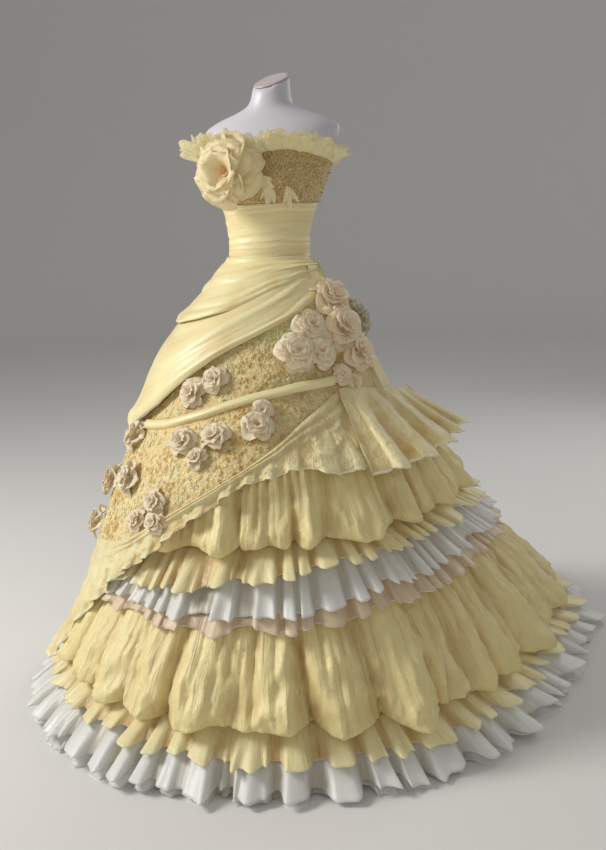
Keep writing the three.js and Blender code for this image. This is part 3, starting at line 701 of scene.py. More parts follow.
GROUPS = {}
MATERIALS = {}
ORGANZAS = (
    # finish, name, the colour of its ridges, the colour of the painted shade in its valleys or that shade's
    # share of the ridge colour, and the rest
    ("puff", "puffed organza", "yellow", "yellow_shade",
     {"alpha": 0.93, "crush": 17.0, "bump": 0.8, "streaks": (55.0, 6.0)}),
    ("ruffle", "yellow ruffle organza", "pale", "yellow_shade",
     {"alpha": 0.9, "crush": 24.0, "bump": 0.4, "streaks": (90.0, 8.0)}),
    ("petal", "petal organza", "sheer", "pale", {"alpha": 0.5, "crush": 50.0, "bump": 0.35, "painted_glow": 0.06}),
    ("drape", "draped organza", "pale", "drape_shade",
     {"crush": 10.0, "bump": 0.35, "streaks": (5.0, 60.0), "rim": 0.0}),
    ("midriff", "midriff organza", "pale", "drape_shade",
     {"crush": 14.0, "bump": 0.35, "streaks": (6.0, 110.0), "rim": 0.0}),
    ("crushed", "crushed organza", "pale", "drape_shade",
     {"alpha": 0.95, "crush": 38.0, "bump": 0.9, "streaks": (60.0, 20.0), "rim": 0.3}),
    ("white", "white organza", "white", "white_shade", {"alpha": 0.72, "crush": 16.0, "bump": 0.3}),
    ("veil", "hem veil", "white", "white_shade", {"alpha": 0.5, "crush": 18.0, "bump": 0.3}),
    ("blush", "blush organza", "blush", "blush_shade", {"alpha": 0.75, "bump": 0.35}),
    ("rose", "rose organza", "rose", "rose_heart", {"alpha": 0.86, "crush": 50.0, "bump": 0.3, "painted_glow": 0.06}),
    ("peach", "bust rose organza", "peach", "peach_heart",
     {"alpha": 0.78, "crush": 45.0, "bump": 0.3, "painted_glow": 0.06}),
    ("tulle", "gathered tulle", "tulle", 0.7, {"alpha": 0.6, "crush": 40.0}),
    ("lining", "skirt lining", "yellow", "yellow_shade", {"crush": 9.0, "bump": 0.2, "painted_glow": 0.0}),
    ("cap", "neck cap cloth", "cap", 0.8, {"crush": 40.0, "bump": 0.1, "painted_glow": 0.0}),
)


def make_materials(colours):
    """All finishes, from the colours in the sidebar."""
    GROUPS.update(weave=weave_group(), crinkle=crinkle_group())
    GROUPS.update(streaks=streak_group(), fold=fold_colour_group())
    tone = {key: tuple(getattr(colours, key)) for key in colours.__annotations__}
    for finish, name, ridge, valley, rest in ORGANZAS:
        # the painted shade for the valleys: a colour of its own, or a share of the ridge colour
        deep = tone[valley] if valley in tone else tuple(valley * c for c in tone[ridge])
        MATERIALS[finish] = organza(name, tone[ridge], deep, **rest)
    MATERIALS.update(
        gold_lace=lace("gold lace", tone["gold_ground"], tone["gold_thread"], 170.0),
        panel_lace=lace("embroidered lace", tone["lace_ground"], tone["lace_thread"], 140.0),
        stitched=tinted("embroidery silk", 0.4, 0.65),
        beads=tinted("gold beads", 0.16, 0.35, metallic=0.55),
        shell=moulded_shell("moulded shell", tone["shell"]),
        steel=plain("polished steel", tone["steel"], 90.0, 3.0, 0.14, 0.32, bump=0.05, metallic=1.0),
        floor=plain("studio floor", tone["floor"], 3.0, 5.0, 0.6, 0.8),
    )


# Settings


def colour_property(name, value, description):
    given = {"name": name, "description": description, "default": value}
    return FloatVectorProperty(subtype="COLOR", size=3, min=0, max=1, **given)


def length_property(name, value, description):
    return FloatProperty(name=name, description=description, default=value, min=0.0002, unit="LENGTH")


class GownColours(bpy.types.PropertyGroup):
    """Base colours of the gown, the form and the floor."""

    yellow: colour_property("Yellow", (0.88, 0.75, 0.37), "Ridges of the yellow tiers")
    yellow_shade: colour_property("Yellow shade", (0.45, 0.26, 0.07), "Valleys of the yellow tiers")
    pale: colour_property("Pale yellow", (0.90, 0.81, 0.46), "Ruffles and drapes")
    drape_shade: colour_property("Drape shade", (0.72, 0.50, 0.20), "Folds of the drapes")
    sheer: colour_property("Sheer yellow", (0.94, 0.87, 0.58), "Single layers, at the neckline and the bust")
    white: colour_property("White", (0.87, 0.88, 0.85), "White ruffles")
    white_shade: colour_property("White shade", (0.50, 0.44, 0.33), "Valleys of the white ruffles")
    blush: colour_property("Blush", (0.84, 0.69, 0.50), "The ruffle under the white one")
    blush_shade: colour_property("Blush shade", (0.54, 0.38, 0.22), "Valleys of the blush ruffle")
    rose: colour_property("Rose", (0.90, 0.78, 0.56), "Petals of the roses")
    # the rose heart colour: the roses' own deeper hearts, and painted shade at the feet of their petals
    rose_heart: colour_property("Rose heart", (0.62, 0.38, 0.19), "Hearts of the roses and painted shade at their petals' feet")
    peach: colour_property("Peach", (0.93, 0.80, 0.48), "Petals of the bust rose")
    # the peach heart colour: the bust rose's own peach heart, and painted shade at the feet of its petals
    peach_heart: colour_property("Peach heart", (0.80, 0.42, 0.18), "Heart of the bust rose and painted shade at its petals' feet")
    tulle: colour_property("Tulle", (0.84, 0.74, 0.52), "The tuft beside the hip roses")
    gold_ground: colour_property("Gold ground", (0.46, 0.31, 0.12), "Ground of the bodice lace")
    gold_thread: colour_property("Gold thread", (0.86, 0.68, 0.35), "Threads of the bodice lace")
    lace_ground: colour_property("Lace ground", (0.74, 0.52, 0.20), "Ground of the hip lace")
    lace_thread: colour_property("Lace thread", (0.90, 0.80, 0.44), "Threads of the hip lace")
    orange: colour_property("Orange silk", (0.80, 0.52, 0.18), "Embroidered flowers")
    amber: colour_property("Amber silk", (0.87, 0.69, 0.32), "Embroidered flowers")
    lime: colour_property("Lime silk", (0.80, 0.81, 0.34), "Embroidered flowers")
    shell: colour_property("Shell", (0.70, 0.68, 0.74), "The form's moulded shell")
    cap: colour_property("Cap", (0.72, 0.60, 0.62), "The cloth cap on the neck")
    steel: colour_property("Steel", (0.62, 0.62, 0.64), "Pole and foot")
    floor: colour_property("Floor", (0.80, 0.79, 0.77), "The studio floor")


class GownSizes(bpy.types.PropertyGroup):
    """Sizes of the cloth and the trims."""

    wall: length_property("Cloth", 0.0007, "Thickness of the cloth")
    hem_wall: length_property("Rolled hem", 0.0022, "Thickness of a rolled hem")
    petal_wall: length_property("Petals", 0.0006, "Thickness of a petal")
    seat: length_property("Seat", 0.003, "Room between a tier's seam and the skirt")
    flowers: IntProperty(name="Flowers", description="Flowers on the hip lace", default=2800, min=0)
    beads: IntProperty(name="Beads", description="Beads on the bodice", default=2400, min=0)


# Tiers


def round_skirt(angle, height, out):
    """Points that stand out from the foundation skirt."""
    return polar(angle, FOUNDATION(angle, height) + out, height)


def ruffle_place(node, *, flutes, swing, seed, own, late, low, over=0.0):
    """A ruffle: gathered flat at its seam, opening to round uneven flutes at its hem.

    Ruffles of one seam share a seed, so that they fold together, and each has a little drift of its own. late
    keeps an inner ruffle close to the skirt until it is past the hem of the one over it. low is the share of
    its standout that its valleys keep, and over is how far it stands clear of its solid's middle.
    """
    edges = Edges(node)
    reach, widest = standout(node)
    seat = bpy.context.scene.gown_sizes.seat

    def place(across, down):
        angle = across * TURN
        full = reach(angle) / widest
        phase = flutes * angle + 4.5 * ripple(angle, seed, 3, 9) + 1.5 * ripple(angle, seed + 1, 10, 19)
        phase = phase + 0.35 * ripple(angle, own, 5, 16) + 0.6 * down * ripple(angle, own + 1, 6, 13)
        size = full * np.clip(1 + 0.4 * ripple(angle, seed + 2, 7, 21), 0.4, 1.5)
        opened = down**late
        second = 0.45 * np.cos(round(1.62 * flutes) * angle + 5 * ripple(angle, seed + 7, 5, 14))
        fold = -np.cos(phase) - 0.14 * np.cos(2 * phase) + second * ease(down, 0.2, 0.8)
        fine = np.cos(3 * phase + 2.5 * ripple(angle, own + 5, 9, 24))
        height = edges.between(angle, down)
        height = height + down**2 * (0.007 * ripple(angle, own + 4, 9, 27) - 0.002 * size * fold)
        height = np.maximum(height, 0.002 + 0.004 * (1 - down))
        middle = reach(angle) - 0.3 * swing * full + over
        out = middle * opened + swing * size * opened * (fold + 0.12 * down**3 * fine)
        out = seat + np.maximum(out, low * middle * opened) + 0.0016 * (1 - down) * fine
        radius = FOUNDATION(angle, height) + out
        turned = 0.35 * np.sin(2 * phase) - 0.5 * np.sin(phase + 0.5 * ripple(angle, own + 6, 6, 17))
        slide = 0.95 * radius / flutes * np.clip(1.1 * size, 0, 1) * down**1.4 * turned
        # painted shade: darker in the valleys between the flutes and towards the seam
        shade = 0.5 + 0.44 * fold * (0.45 + 0.55 * down) + 0.1 * down
        return polar(angle, radius, height, slide), shade

    return place


def puff_place(node, *, lobes, swell, seed, hang, crush):
    """A puff: finely gathered at its upper seam, ballooning into uneven lobes that tuck under below."""
    edges = Edges(node)
    reach, widest = standout(node)
    seat = bpy.context.scene.gown_sizes.seat
    fall_at = ([0, 0.3, 0.6, 0.8, 0.92, 1], [0, 0.33, 0.68, 0.93, 1.0, 0.985])
    full_at = ([0, 0.18, 0.32, 0.45, 0.65, 0.84, 0.93, 1], [0, 0.32, 0.50, 0.72, 0.96, 1.0, 0.72, 0.04])

    def place(across, down):
        angle = across * TURN
        full = reach(angle) / widest
        fall, puffed = curve(down, *fall_at), curve(down, *full_at)
        drift = 2.6 * ripple(angle, seed, 3, 8) + 2.0 * down * ripple(angle, seed + 1, 3, 10)
        broad = lobe(lobes * angle + drift, 0.65)
        wander = 2.2 * ripple(angle, seed + 2, 7, 19) + 1.5 * down * ripple(angle, seed + 3, 6, 15)
        narrow = lobe(round(2.4 * lobes) * angle + 1.5 * drift + wander, 0.8)
        fine = lobe(round(5.2 * lobes) * angle + 2.6 * drift - wander, 0.9)
        size = np.clip(1 + 0.8 * ripple(angle, seed + 4, 5, 17), 0.15, 1.7)
        come = 0.5 + 0.5 * np.sin(4.2 * down + 2.6 * ripple(angle, seed + 5, 9, 27))
        grown = ease(down, 0.1, 0.85)
        fold = (0.2 + 0.6 * grown) * size * broad + (0.5 - 0.28 * grown) * come * narrow
        fold = fold + (0.26 - 0.22 * grown) * (1 - 0.6 * come) * fine
        out = seat + full * (0.82 * widest * puffed + swell * puffed**0.7 * fold)
        low = hang * (0.3 + 0.7 * broad * size) * ease(down, 0.45, 0.9) * (1 - 0.8 * ease(down, 0.93, 1))
        low = low + 0.006 * ripple(angle, seed + 6, 7, 19) * ease(down, 0.4, 0.9)
        height = edges.between(angle, fall) - full * low
        points = round_skirt(angle, height, np.maximum(out, 0.001))
        long_crush = crumpled(points, 17, 3.5, seed)
        short_crush = crumpled(points, 15, 1.2, seed + 1)
        crushed = (0.8 - 0.6 * grown) * long_crush + (0.1 + 0.9 * grown) * short_crush
        points = pushed(points, crush * full * puffed * crushed)
        # painted shade: darker in the valleys between the lobes, where the puff tucks under at its foot and
        # near its gathered seam, and lighter on the crumples' ridges
        shade = 0.58 + 0.50 * fold * np.minimum(1, puffed + 0.3) + 0.24 * crushed * puffed
        return points, shade * (1 - 0.5 * ease(down, 0.9, 1)) * (0.6 + 0.4 * ease(down, 0, 0.2))

    return place


PUFFS = {
    "puff_tier_upper": {"lobes": 29, "swell": 0.021, "seed": 11, "hang": 0.012, "crush": 0.009},
    "puff_tier_lower": {"lobes": 27, "swell": 0.033, "seed": 23, "hang": 0.013, "crush": 0.013},
}
MIDDLE_SEAM = {"flutes": 52, "seed": 31}
LOWER_SEAM = {"flutes": 50, "seed": 53}
RUFFLES = (
    # node, finish and shape
    ("middle_ruffle_yellow", "ruffle", {**MIDDLE_SEAM, "swing": 0.020, "own": 33, "late": 0.9, "low": 0.72}),
    ("middle_ruffle_white", "white", {**MIDDLE_SEAM, "swing": 0.021, "own": 43, "late": 1.4, "low": 0.84}),
    ("middle_ruffle_blush", "blush",
     {**MIDDLE_SEAM, "swing": 0.014, "own": 49, "late": 1.7, "low": 0.94, "over": 0.009}),
    ("lower_ruffle_yellow", "ruffle", {**LOWER_SEAM, "swing": 0.024, "own": 55, "late": 0.9, "low": 0.66}),
    ("lower_ruffle_white", "white", {**LOWER_SEAM, "swing": 0.031, "own": 63, "late": 1.4, "low": 0.6}),
    ("lower_veil", "veil", {**LOWER_SEAM, "swing": 0.024, "own": 69, "late": 1.7, "low": 0.6}),
)


def foundation_place(across, down):
    """The skirt under the tiers: gathered into the waist, and smooth where the tiers are sewn to it."""
    angle = across * TURN
    height = Edges("foundation_skirt").between(angle, down)
    fall = ease(height, 1.10, 0.98) * ease(height, 0.74, 0.80)
    phase = 46 * angle + 2.0 * ripple(angle, 3, 3, 9) + 3 * down * ripple(angle, 4, 3, 9)
    fold = np.cos(phase) + 0.4 * np.cos(2 * phase + 1)
    out = -0.006 * fall * (1 - fold) - 0.0012 * ease(height, 1.02, 1.10) * (1 + np.cos(3 * phase))
    # painted shade in the valleys of the gathers
    return round_skirt(angle, height, np.minimum(out, 0)), 0.72 + 0.28 * fold * fall


# Draped pieces


def drape_place(node, *, folds, depth, seed, roll=0.0, gather=0.0, crush=0.0, wave=0.0, waves=9, flare=2.0,
                band=0.0, above=None):
    """A drape across the hips.

    Its folds run along it and gather at the wearer's left hip. Its lower edge may roll under, or hang free in
    waves. band gives its upper part two long pressed folds, and its top edge is drawn in to the cloth above.
    """
    edges, skin = Edges(node), Skin(node, 2.4, 1.5)
    waist = Skin(above, 1.2, 0.8) if above else None

    def place(across, down):
        angle = edges.start + (edges.stop - edges.start) * across
        hip = ease(across, 0.55, 1)
        height = edges.between(angle, down)
        phase = folds * TURN * down + 1.6 * ripple(angle, seed, 1, 3) + 0.7 * ripple(angle, seed + 1, 3, 7)
        fold = 0.6 * np.cos(phase) + 0.4 * lobe(1.7 * phase + 2.4 * ripple(angle, seed + 2, 1, 4), 0.9)
        fold = fold * (0.6 + 0.4 * np.sin(2.3 * phase / folds + 3 * ripple(angle, seed + 6, 1, 3)))
        middle = ease(down, 0.02, 0.2) * (1 - ease(down, 0.86, 1))
        out = depth * (1 + gather * hip) * middle * (0.6 + 0.6 * fold)
        curled = (1 - ((down - 0.93) / 0.09) ** 2).clip(0, 1) ** 0.5
        out = out + roll * curled * (0.8 + 0.3 * ripple(angle, seed + 3, 2, 6))
        pressed = ease(down, 0, 0.04) * (1 - ease(down, 0.26, 0.36))
        crossing = TURN * down / 0.15 + 0.6 * ripple(angle, seed + 7, 3, 9)
        out = out + band * pressed * (0.55 + 0.45 * lobe(crossing, 0.7))
        hem = down**flare
        turn = waves * angle + 1.6 * ripple(angle, seed + 5, 3, 11)
        flute = np.cos(turn) + 0.3 * np.cos(2.7 * turn + 1.3)
        out = out + wave * hem * (1.1 + flute)
        height = height + 0.35 * wave * hem * np.cos(turn + 0.8)
        slide = wave * hem * 0.5 * np.sin(2 * turn)
        radius = skin(angle, height) + out
        if waist:
            height = height + 0.008 * (1 - ease(down, 0, 0.06))
            drawn_in = waist(angle, waist.low + 0.004 + 0 * angle) + 0.0015
            radius = drawn_in + (radius - drawn_in) * ease(down, -0.12, 0.13)
        points = polar(angle, radius, height, slide)
        # painted shade: darker in the folds and between the hem's flutes, and, where crushed, lighter on the
        # crumples' ridges
        shade = 0.62 + 0.36 * fold * middle + 0.30 * hem * flute
        if crush:
            crushed = crumpled(points, 26, 1.2, seed)
            amount = crush * ease(down, 0.0, 0.3) * (0.4 + 0.6 * ease(down, 0.2, 0.5))
            points, shade = pushed(points, amount * crushed), shade + 0.2 * crushed
        return points, shade

    return place


DRAPES = (
    # node, finish, whether its lower edge is hemmed, and its shape
    ("overskirt_flounce", "crushed", True,
     {"folds": 1.0, "depth": 0.002, "seed": 71, "crush": 0.005, "wave": 0.008, "waves": 46, "band": 0.007}),
    ("swathe_lower", "drape", True, {"folds": 2.2, "depth": 0.005, "seed": 83, "roll": 0.005, "gather": 1.2}),
    ("swathe_upper", "drape", True,
     {"folds": 2.6, "depth": 0.007, "seed": 89, "roll": 0.008, "gather": 0.6, "above": "midriff_wrap"}),
    ("waist_tab", "drape", False, {"folds": 1.2, "depth": 0.003, "seed": 97, "roll": 0.001}),
    ("hip_jabot", "crushed", True,
     {"folds": 0.6, "depth": 0.003, "seed": 101, "crush": 0.002, "wave": 0.020, "waves": 31, "flare": 0.8}),
)
LACE_SHAPE = {"folds": 1.4, "depth": 0.003, "seed": 79, "crush": 0.001}
FOLD_SHAPE = {"folds": 1.0, "depth": 0.001, "seed": 113}
FLOWER_SIZES = (0.0035, 0.0075)  # the least and the greatest radius
BEAD_SIZES = (0.0009, 0.0019)


def scattered(name, count, seed, place, prototype, sizes, tints, weight, finish):
    """Copies of a small shape set on a cloth, as one piece.

    weight is how likely a place is to keep its copy, and tints gives each copy its colour.
    """
    draw = np.random.default_rng(seed)
    across, down = draw.uniform(0.01, 0.99, 4 * count), draw.uniform(0.02, 0.98, 4 * count)
    kept = draw.uniform(0, 1, 4 * count) < weight(across, down)
    across, down = across[kept][:count], down[kept][:count]
    here, _ = place(across, down)
    along = place(across + 0.002, down)[0] - here
    below = place(across, down + 0.004)[0] - here
    out = np.cross(below, along)
    out /= np.linalg.norm(out, axis=1, keepdims=True)
    along /= np.linalg.norm(along, axis=1, keepdims=True)
    third = np.cross(out, along)
    spin = draw.uniform(0, TURN, len(here))
    first = along * np.cos(spin)[:, None] + third * np.sin(spin)[:, None]
    second = np.cross(out, first)
    scale = draw.uniform(*sizes, len(here))[:, None, None]
    shape = np.array([v.co for v in prototype.vertices])
    x, y, z = (shape[None, :, axis : axis + 1] for axis in range(3))
    local = x * first[:, None] + y * second[:, None] + z * out[:, None]
    points = (here[:, None] + scale * local).reshape(-1, 3)
    faces = np.array([tuple(p.vertices) for p in prototype.polygons])
    indices = (faces[None] + (np.arange(len(here)) * len(shape))[:, None, None]).reshape(-1, faces.shape[1])
    mesh = bpy.data.meshes.new(name)
    mesh.from_pydata(points, [], indices.tolist())
    colours = np.repeat(tints(across, down, draw), len(shape), axis=0)
    colours = np.hstack([colours, np.ones((len(colours), 1))])
    tint = mesh.attributes.new("tint", "FLOAT_COLOR", "POINT")
    tint.data.foreach_set("color", colours.astype(np.float32).ravel())
    new_piece(name, mesh, finish)


def flower_shape():
    """A five petalled flower of radius 1, cupped, with a raised heart."""
    mesh = bpy.data.meshes.new("flower")
    with building(mesh) as bm:
        bmesh.ops.create_circle(bm, cap_ends=False, radius=1, segments=10)
        rim = sorted(bm.verts, key=lambda v: math.atan2(v.co.y, v.co.x))
        for k, corner in enumerate(rim):
            corner.co *= 1.0 if k % 2 else 0.5
            corner.co.z = 0.42 if k % 2 else 0.12
        heart = bmesh.ops.create_circle(bm, cap_ends=False, radius=0.22, segments=10)["verts"]
        for corner in heart:
            corner.co.z = 0.4
        bmesh.ops.bridge_loops(bm, edges=bm.edges[:])
        bmesh.ops.triangulate(bm, faces=bm.faces[:])
        bmesh.ops.recalc_face_normals(bm, faces=bm.faces[:])
        if sum(f.normal.z for f in bm.faces) < 0:
            bmesh.ops.reverse_faces(bm, faces=bm.faces[:])
    return mesh


def bead_shape():
    """A round bead of radius 1 that sits on the cloth."""
    mesh = bpy.data.meshes.new("bead")
    with building(mesh) as bm:
        bmesh.ops.create_icosphere(bm, subdivisions=1, radius=1, matrix=Matrix.Translation((0, 0, 0.6)))
    return mesh


def make_lace_panel():
    """The embroidered lace across the hips, its flowers and the narrow fold over it."""
    colours = bpy.context.scene.gown_colours
    place = drape_place("lace_panel", **LACE_SHAPE)
    cloth("lace_panel", place, "panel_lace")
    silks = np.array([tuple(silk) for silk in (colours.orange, colours.amber, colours.lime, colours.pale)])

    def patch(across, down, seed):
        return ripple(TURN * across, seed, 2, 7) + ripple(TURN * (down + 0.4 * across), seed + 1, 1, 4)

    def weight(across, down):
        return 0.30 + 0.70 * ease(patch(across, down, 5), -0.5, 0.5)

    def tints(across, down, draw):
        warmth = patch(across, down, 17) + 0.3 * draw.normal(size=len(across))
        kinds = np.select([warmth > 0.45, warmth > -0.35, warmth > -0.9], [0, 1, 3], 2)
        return silks[kinds] * draw.uniform(0.75, 1.05, len(across))[:, None]

    count = bpy.context.scene.gown_sizes.flowers
    scattered("hip_embroidery", count, 19, place, flower_shape(), FLOWER_SIZES, tints, weight, "stitched")
    band = drape_place("lace_fold", **FOLD_SHAPE)

    def rolled(across, down):
        points, _ = band(across, down)
        bulge = np.sin(math.pi * down) * (0.35 + 0.65 * np.sin(math.pi * across.clip(0.001, 0.999)) ** 0.4)
        # painted shade: darker towards the fold's edges, where it rolls under, and lighter on its bulge
        return pushed(points, 0.009 * bulge - 0.002), 0.45 + 0.5 * bulge

    cloth("lace_fold", rolled, "drape")


# Bodice


def body_place(node, relief):
    """Cloth that fits the form closely, with its own relief."""
    edges, skin = Edges(node), Skin(node, 1.2, 0.8)

    def place(across, down):
        angle = across * TURN
        height = edges.between(angle, down)
        out, shade = relief(angle, down)
        return polar(angle, skin(angle, height) + out, height), shade

    return place


def lace_relief(angle, down):
    """Close faint creases, and an uneven fold value, which the gold lace's finish doesn't read."""
    return 0.0006 * creases(angle, down, 131, 60, 120, 30), 0.6 + 0.3 * ripple(angle, 133, 5, 11)


def pleat_relief(angle, down):
    """Flat pleats pulled round the waist, each lapped over the next."""
    phase = 7.4 * down + 0.30 * ripple(angle, 137, 1, 2) + 0.10 * ripple(angle, 139, 4, 9)
    phase = phase + 0.5 * np.sin(7 * down)
    step = phase - np.floor(phase)
    lap = np.minimum(step / 0.8, (1 - step) / 0.2)
    deep = 0.55 + 0.45 * np.sin(1.7 * phase + 2 * ripple(angle, 141, 1, 4))
    # the second value is painted shade, darkest along each lap where one pleat goes under the next
    return 0.0022 * deep * lap - 0.0005, 0.5 + 0.5 * deep * lap


def make_bodice():
    """The lace bodice, the pleated midriff under it, and the beads, closest at the wearer's left front."""
    colours = bpy.context.scene.gown_colours
    shell = body_place("bodice_shell", lace_relief)
    midriff = body_place("midriff_wrap", pleat_relief)
    for node, place, finish in (("bodice_shell", shell, "gold_lace"), ("midriff_wrap", midriff, "midriff")):
        cloth(node, place, finish, closed=True)
    threads = (colours.gold_thread, colours.amber, colours.pale, colours.gold_ground)
    golds = np.array([tuple(thread) for thread in threads])

    def weight(across, down):
        away = np.abs(np.mod(across * TURN + math.radians(55) + math.pi, TURN) - math.pi)
        return np.exp(-((away / 0.75) ** 2)) * (1 - 0.5 * ease(down, 0.6, 1)) + 0.06

    def tints(across, down, draw):
        return golds[draw.integers(0, len(golds), len(across))]

    count = bpy.context.scene.gown_sizes.beads
    scattered("bodice_beads", count, 29, shell, bead_shape(), BEAD_SIZES, tints, weight, "beads")


# Petals and roses


def petal_shape(width, length, cup, curl, seed, point=0.0, frill=0.0):
    """A petal that grows from its base at the origin along +Y, cupped across and curling back at its lip."""
    lean = 0.15 * math.sin(5.1 * seed)
    round_at = ([0, 0.25, 0.55, 0.8, 1], [0.30, 0.72, 1.0, 1.0, 0.72])

    def place(across, down):
        side, up = 2 * across - 1, 1 - down
        spread = (1 - point) * curve(up, *round_at) + point * np.sin(math.pi * (0.1 + 0.88 * up)) ** 1.3
        x = 0.5 * width * side * spread + lean * width * up
        y = length * (up - 0.2 * (1 - point) * side**2 * ease(up, 0.4, 1))
        z = cup * (side**2 * spread + 0.25 * up) - curl * ease(up, 0.55, 1) ** 2
        z = z + frill * up**2 * np.sin(7 * side + 2.7 * seed)
        z = z + 0.5 * frill * up**3 * np.sin(13 * side + 1.3 * seed)
        # painted shade: darker towards the petal's base, deep in the flower
        return np.stack([x, y, z], axis=-1), 0.25 + 0.75 * up**0.7

    return place


def joined(name, node, parts, finish):
    """One piece, for a frame piece, from many sheets: each is a mesh and the matrix that places it."""
    whole = bpy.data.meshes.new(name)
    with building(whole) as bm:
        for mesh, matrix in parts:
            before = len(bm.verts)
            bm.from_mesh(mesh)
            bm.verts.ensure_lookup_table()
            bmesh.ops.transform(bm, matrix=matrix, verts=bm.verts[before:])
    # the fold values, by which the finish paints shade into the petals, and the hem values
    for kind in ("fold", "hem"):
        write_values(whole, kind, np.concatenate([read_values(mesh, kind) for mesh, _ in parts]))
    NODES[node].name = node + "_frame"
    solid = new_piece(name, whole, finish, [node]).modifiers.new("wall", "SOLIDIFY")
    solid.thickness, solid.offset = bpy.context.scene.gown_sizes.petal_wall, 0


def rose_seat(node):
    """Where a frame rose sits: its base's centre, the way it faces and its radius."""
    points = node_points(node)
    centre = points.mean(axis=0)
    ways = np.linalg.eigh(np.cov((points - centre).T))[1]
    facing = ways[:, 0]
    outward = np.array([centre[0], centre[1], 0.0])
    facing = facing if facing @ outward > 0 else -facing
    along = (points - centre) @ facing
    radius = np.linalg.norm(points - centre - along[:, None] * facing, axis=1).max()
    return Vector(centre + along.min() * facing), Vector(facing), float(radius)


def seat_matrix(place, facing, spin, scale):
    """Sets a shape that rises along +Z on a seat."""
    turn = facing.to_track_quat("Z", "Y").to_matrix().to_4x4()
    return Matrix.Translation(place) @ turn @ Matrix.Rotation(spin, 4, "Z") @ Matrix.Scale(scale, 4)


def ribbon_place(turns, height, flare, seed):
    """A folded ribbon wound into a rose of radius 1: tight and tall at its heart, open and low outside."""
    draw = np.random.default_rng(seed)
    offset, squash = draw.uniform(0, TURN), draw.uniform(0.85, 1)

    def place(across, down):
        up = 1 - down
        turn = turns * TURN * across
        petals = np.abs(np.sin(1.25 * turn + offset)) ** 0.6
        radius = 0.06 + 0.60 * across**0.85 + flare * up**2 * across**0.6 * (0.55 + 0.45 * petals)
        radius = radius * (1 + 0.05 * np.sin(3.3 * turn + offset))
        top = height * (1 - 0.62 * across**1.2) * (0.78 + 0.22 * petals)
        z = top * np.sin(0.5 * math.pi * up) ** 0.8 - 0.10 * across * up**3 + 0.02
        # painted shade: darkest at the bud's heart and along the ribbon's lower edge
        shade = 0.05 + 0.5 * across + 0.4 * up**2
        return np.stack([radius * np.cos(turn), squash * radius * np.sin(turn), z], axis=-1), shade

    return place


def whorl(place, facing, radius, rings, seed, frill):
    """Rings of petals round one centre. Each ring has a count, a size and how far its petals stand up."""
    parts = []
    for ring, (count, size, stand) in enumerate(rings):
        for k in range(count):
            own = seed + 13 * ring + 3.7 * k
            shape = petal_shape(1.15 * size, size, 0.30 * size, 0.26 * size, own, frill=frill)
            leaf, _ = grid_mesh("petal", 6, 6, shape)
            spin = TURN * (k + 0.45 * ring + 0.18 * math.sin(own)) / count
            tip = Matrix.Rotation(math.radians(stand + 7 * math.sin(3 * own)), 4, "X")
            base = place + facing * radius * (0.10 * (len(rings) - ring))
            parts.append((leaf, seat_matrix(base, facing, spin, radius) @ tip))
    return parts


# a bud has its ribbon's grid, the ribbon's turns, height and flare, and how far it is lifted and scaled
BUD = {"grid": (44, 5), "ribbon": (2.2, 0.95, 0.20), "lift": 0.12, "scale": 0.45}
BUST_BUD = {"grid": (180, 8), "ribbon": (5.2, 0.5, 0.30), "lift": 0.2, "scale": 0.78}
BLOOMS = {
    # how much wider than its seat it opens, its bud, how frilled its petals are, and its rings
    "hip": (1.95, BUD, 0.05, ((3, 0.60, 64), (4, 0.78, 48), (5, 0.92, 26), (5, 1.02, 6))),
    "lace": (1.9, BUD, 0.05, ((3, 0.62, 60), (4, 0.82, 38), (5, 0.98, 10))),
    "bust": (1.3, BUST_BUD, 0.07, ((5, 0.95, 42), (6, 1.10, 24), (7, 1.25, 8))),
    "tuft": (0.95, None, 0.14, ((5, 0.60, 66), (6, 0.85, 48), (7, 1.05, 30), (8, 1.2, 12))),
}


def make_bloom(name, node, kind, finish, seed, spin):
    """An organza flower: a wound bud among rings of cupped petals, or the rings alone."""
    growth, bud, frill, rings = BLOOMS[kind]
    place, facing, radius = rose_seat(node)
    radius *= growth
    parts = []
    if bud:
        ribbon, _ = grid_mesh("bud", *bud["grid"], ribbon_place(*bud["ribbon"], seed))
        seat = seat_matrix(place + bud["lift"] * radius * facing, facing, spin, bud["scale"] * radius)
        parts.append((ribbon, seat))
    parts += whorl(place, facing, radius, rings, seed, frill)
    joined(name, node, parts, finish)


FRILLS = (
    # how far each frill stands up and leans out, and how many flutes it has and how far they swing
    {"tall": 0.048, "lean": 0.012, "flutes": 30, "swing": 0.005, "seed": 151},
    {"tall": 0.042, "lean": 0.022, "flutes": 36, "swing": 0.007, "seed": 157},
    {"tall": 0.036, "lean": 0.024, "flutes": 41, "swing": 0.008, "seed": 163},
)
NECK_PETALS = 17
WING = math.radians(15)  # opposite the wearer's right shoulder, where the frill stands out widest


def frill_place(edges, skin, *, tall, lean, flutes, swing, seed):
    """A sheer frill that stands up from the neckline and leans outwards, with a torn-petal edge."""

    def place(across, down):
        angle, up = across * TURN, 1 - down
        base = edges.lower(angle) - 0.008
        phase = flutes * angle + 2.5 * ripple(angle, seed, 3, 9)
        petals = np.abs(np.sin(phase / 2 + 0.6)) ** 0.6
        reach = tall * (0.68 + 0.32 * petals) * (1 + 0.25 * ripple(angle, seed + 1, 5, 15))
        wing = 1 + 1.3 * np.exp(-((np.mod(angle - WING, TURN) - math.pi) / 0.55) ** 2)
        reach = reach * (0.75 + 0.25 * wing)
        leaning = lean * wing * up**1.4 * (1 + 0.4 * ripple(angle, seed + 2, 4, 13))
        out = 0.0012 + leaning + swing * up * np.cos(phase)
        curl = 0.006 * ease(up, 0.7, 1) * petals
        height = base + reach * up - 0.5 * curl
        radius = skin(angle, base) + out + curl
        # painted shade: darker towards the frill's foot and between its petals
        return polar(angle, radius, height), 0.45 + 0.5 * up * petals

    return place


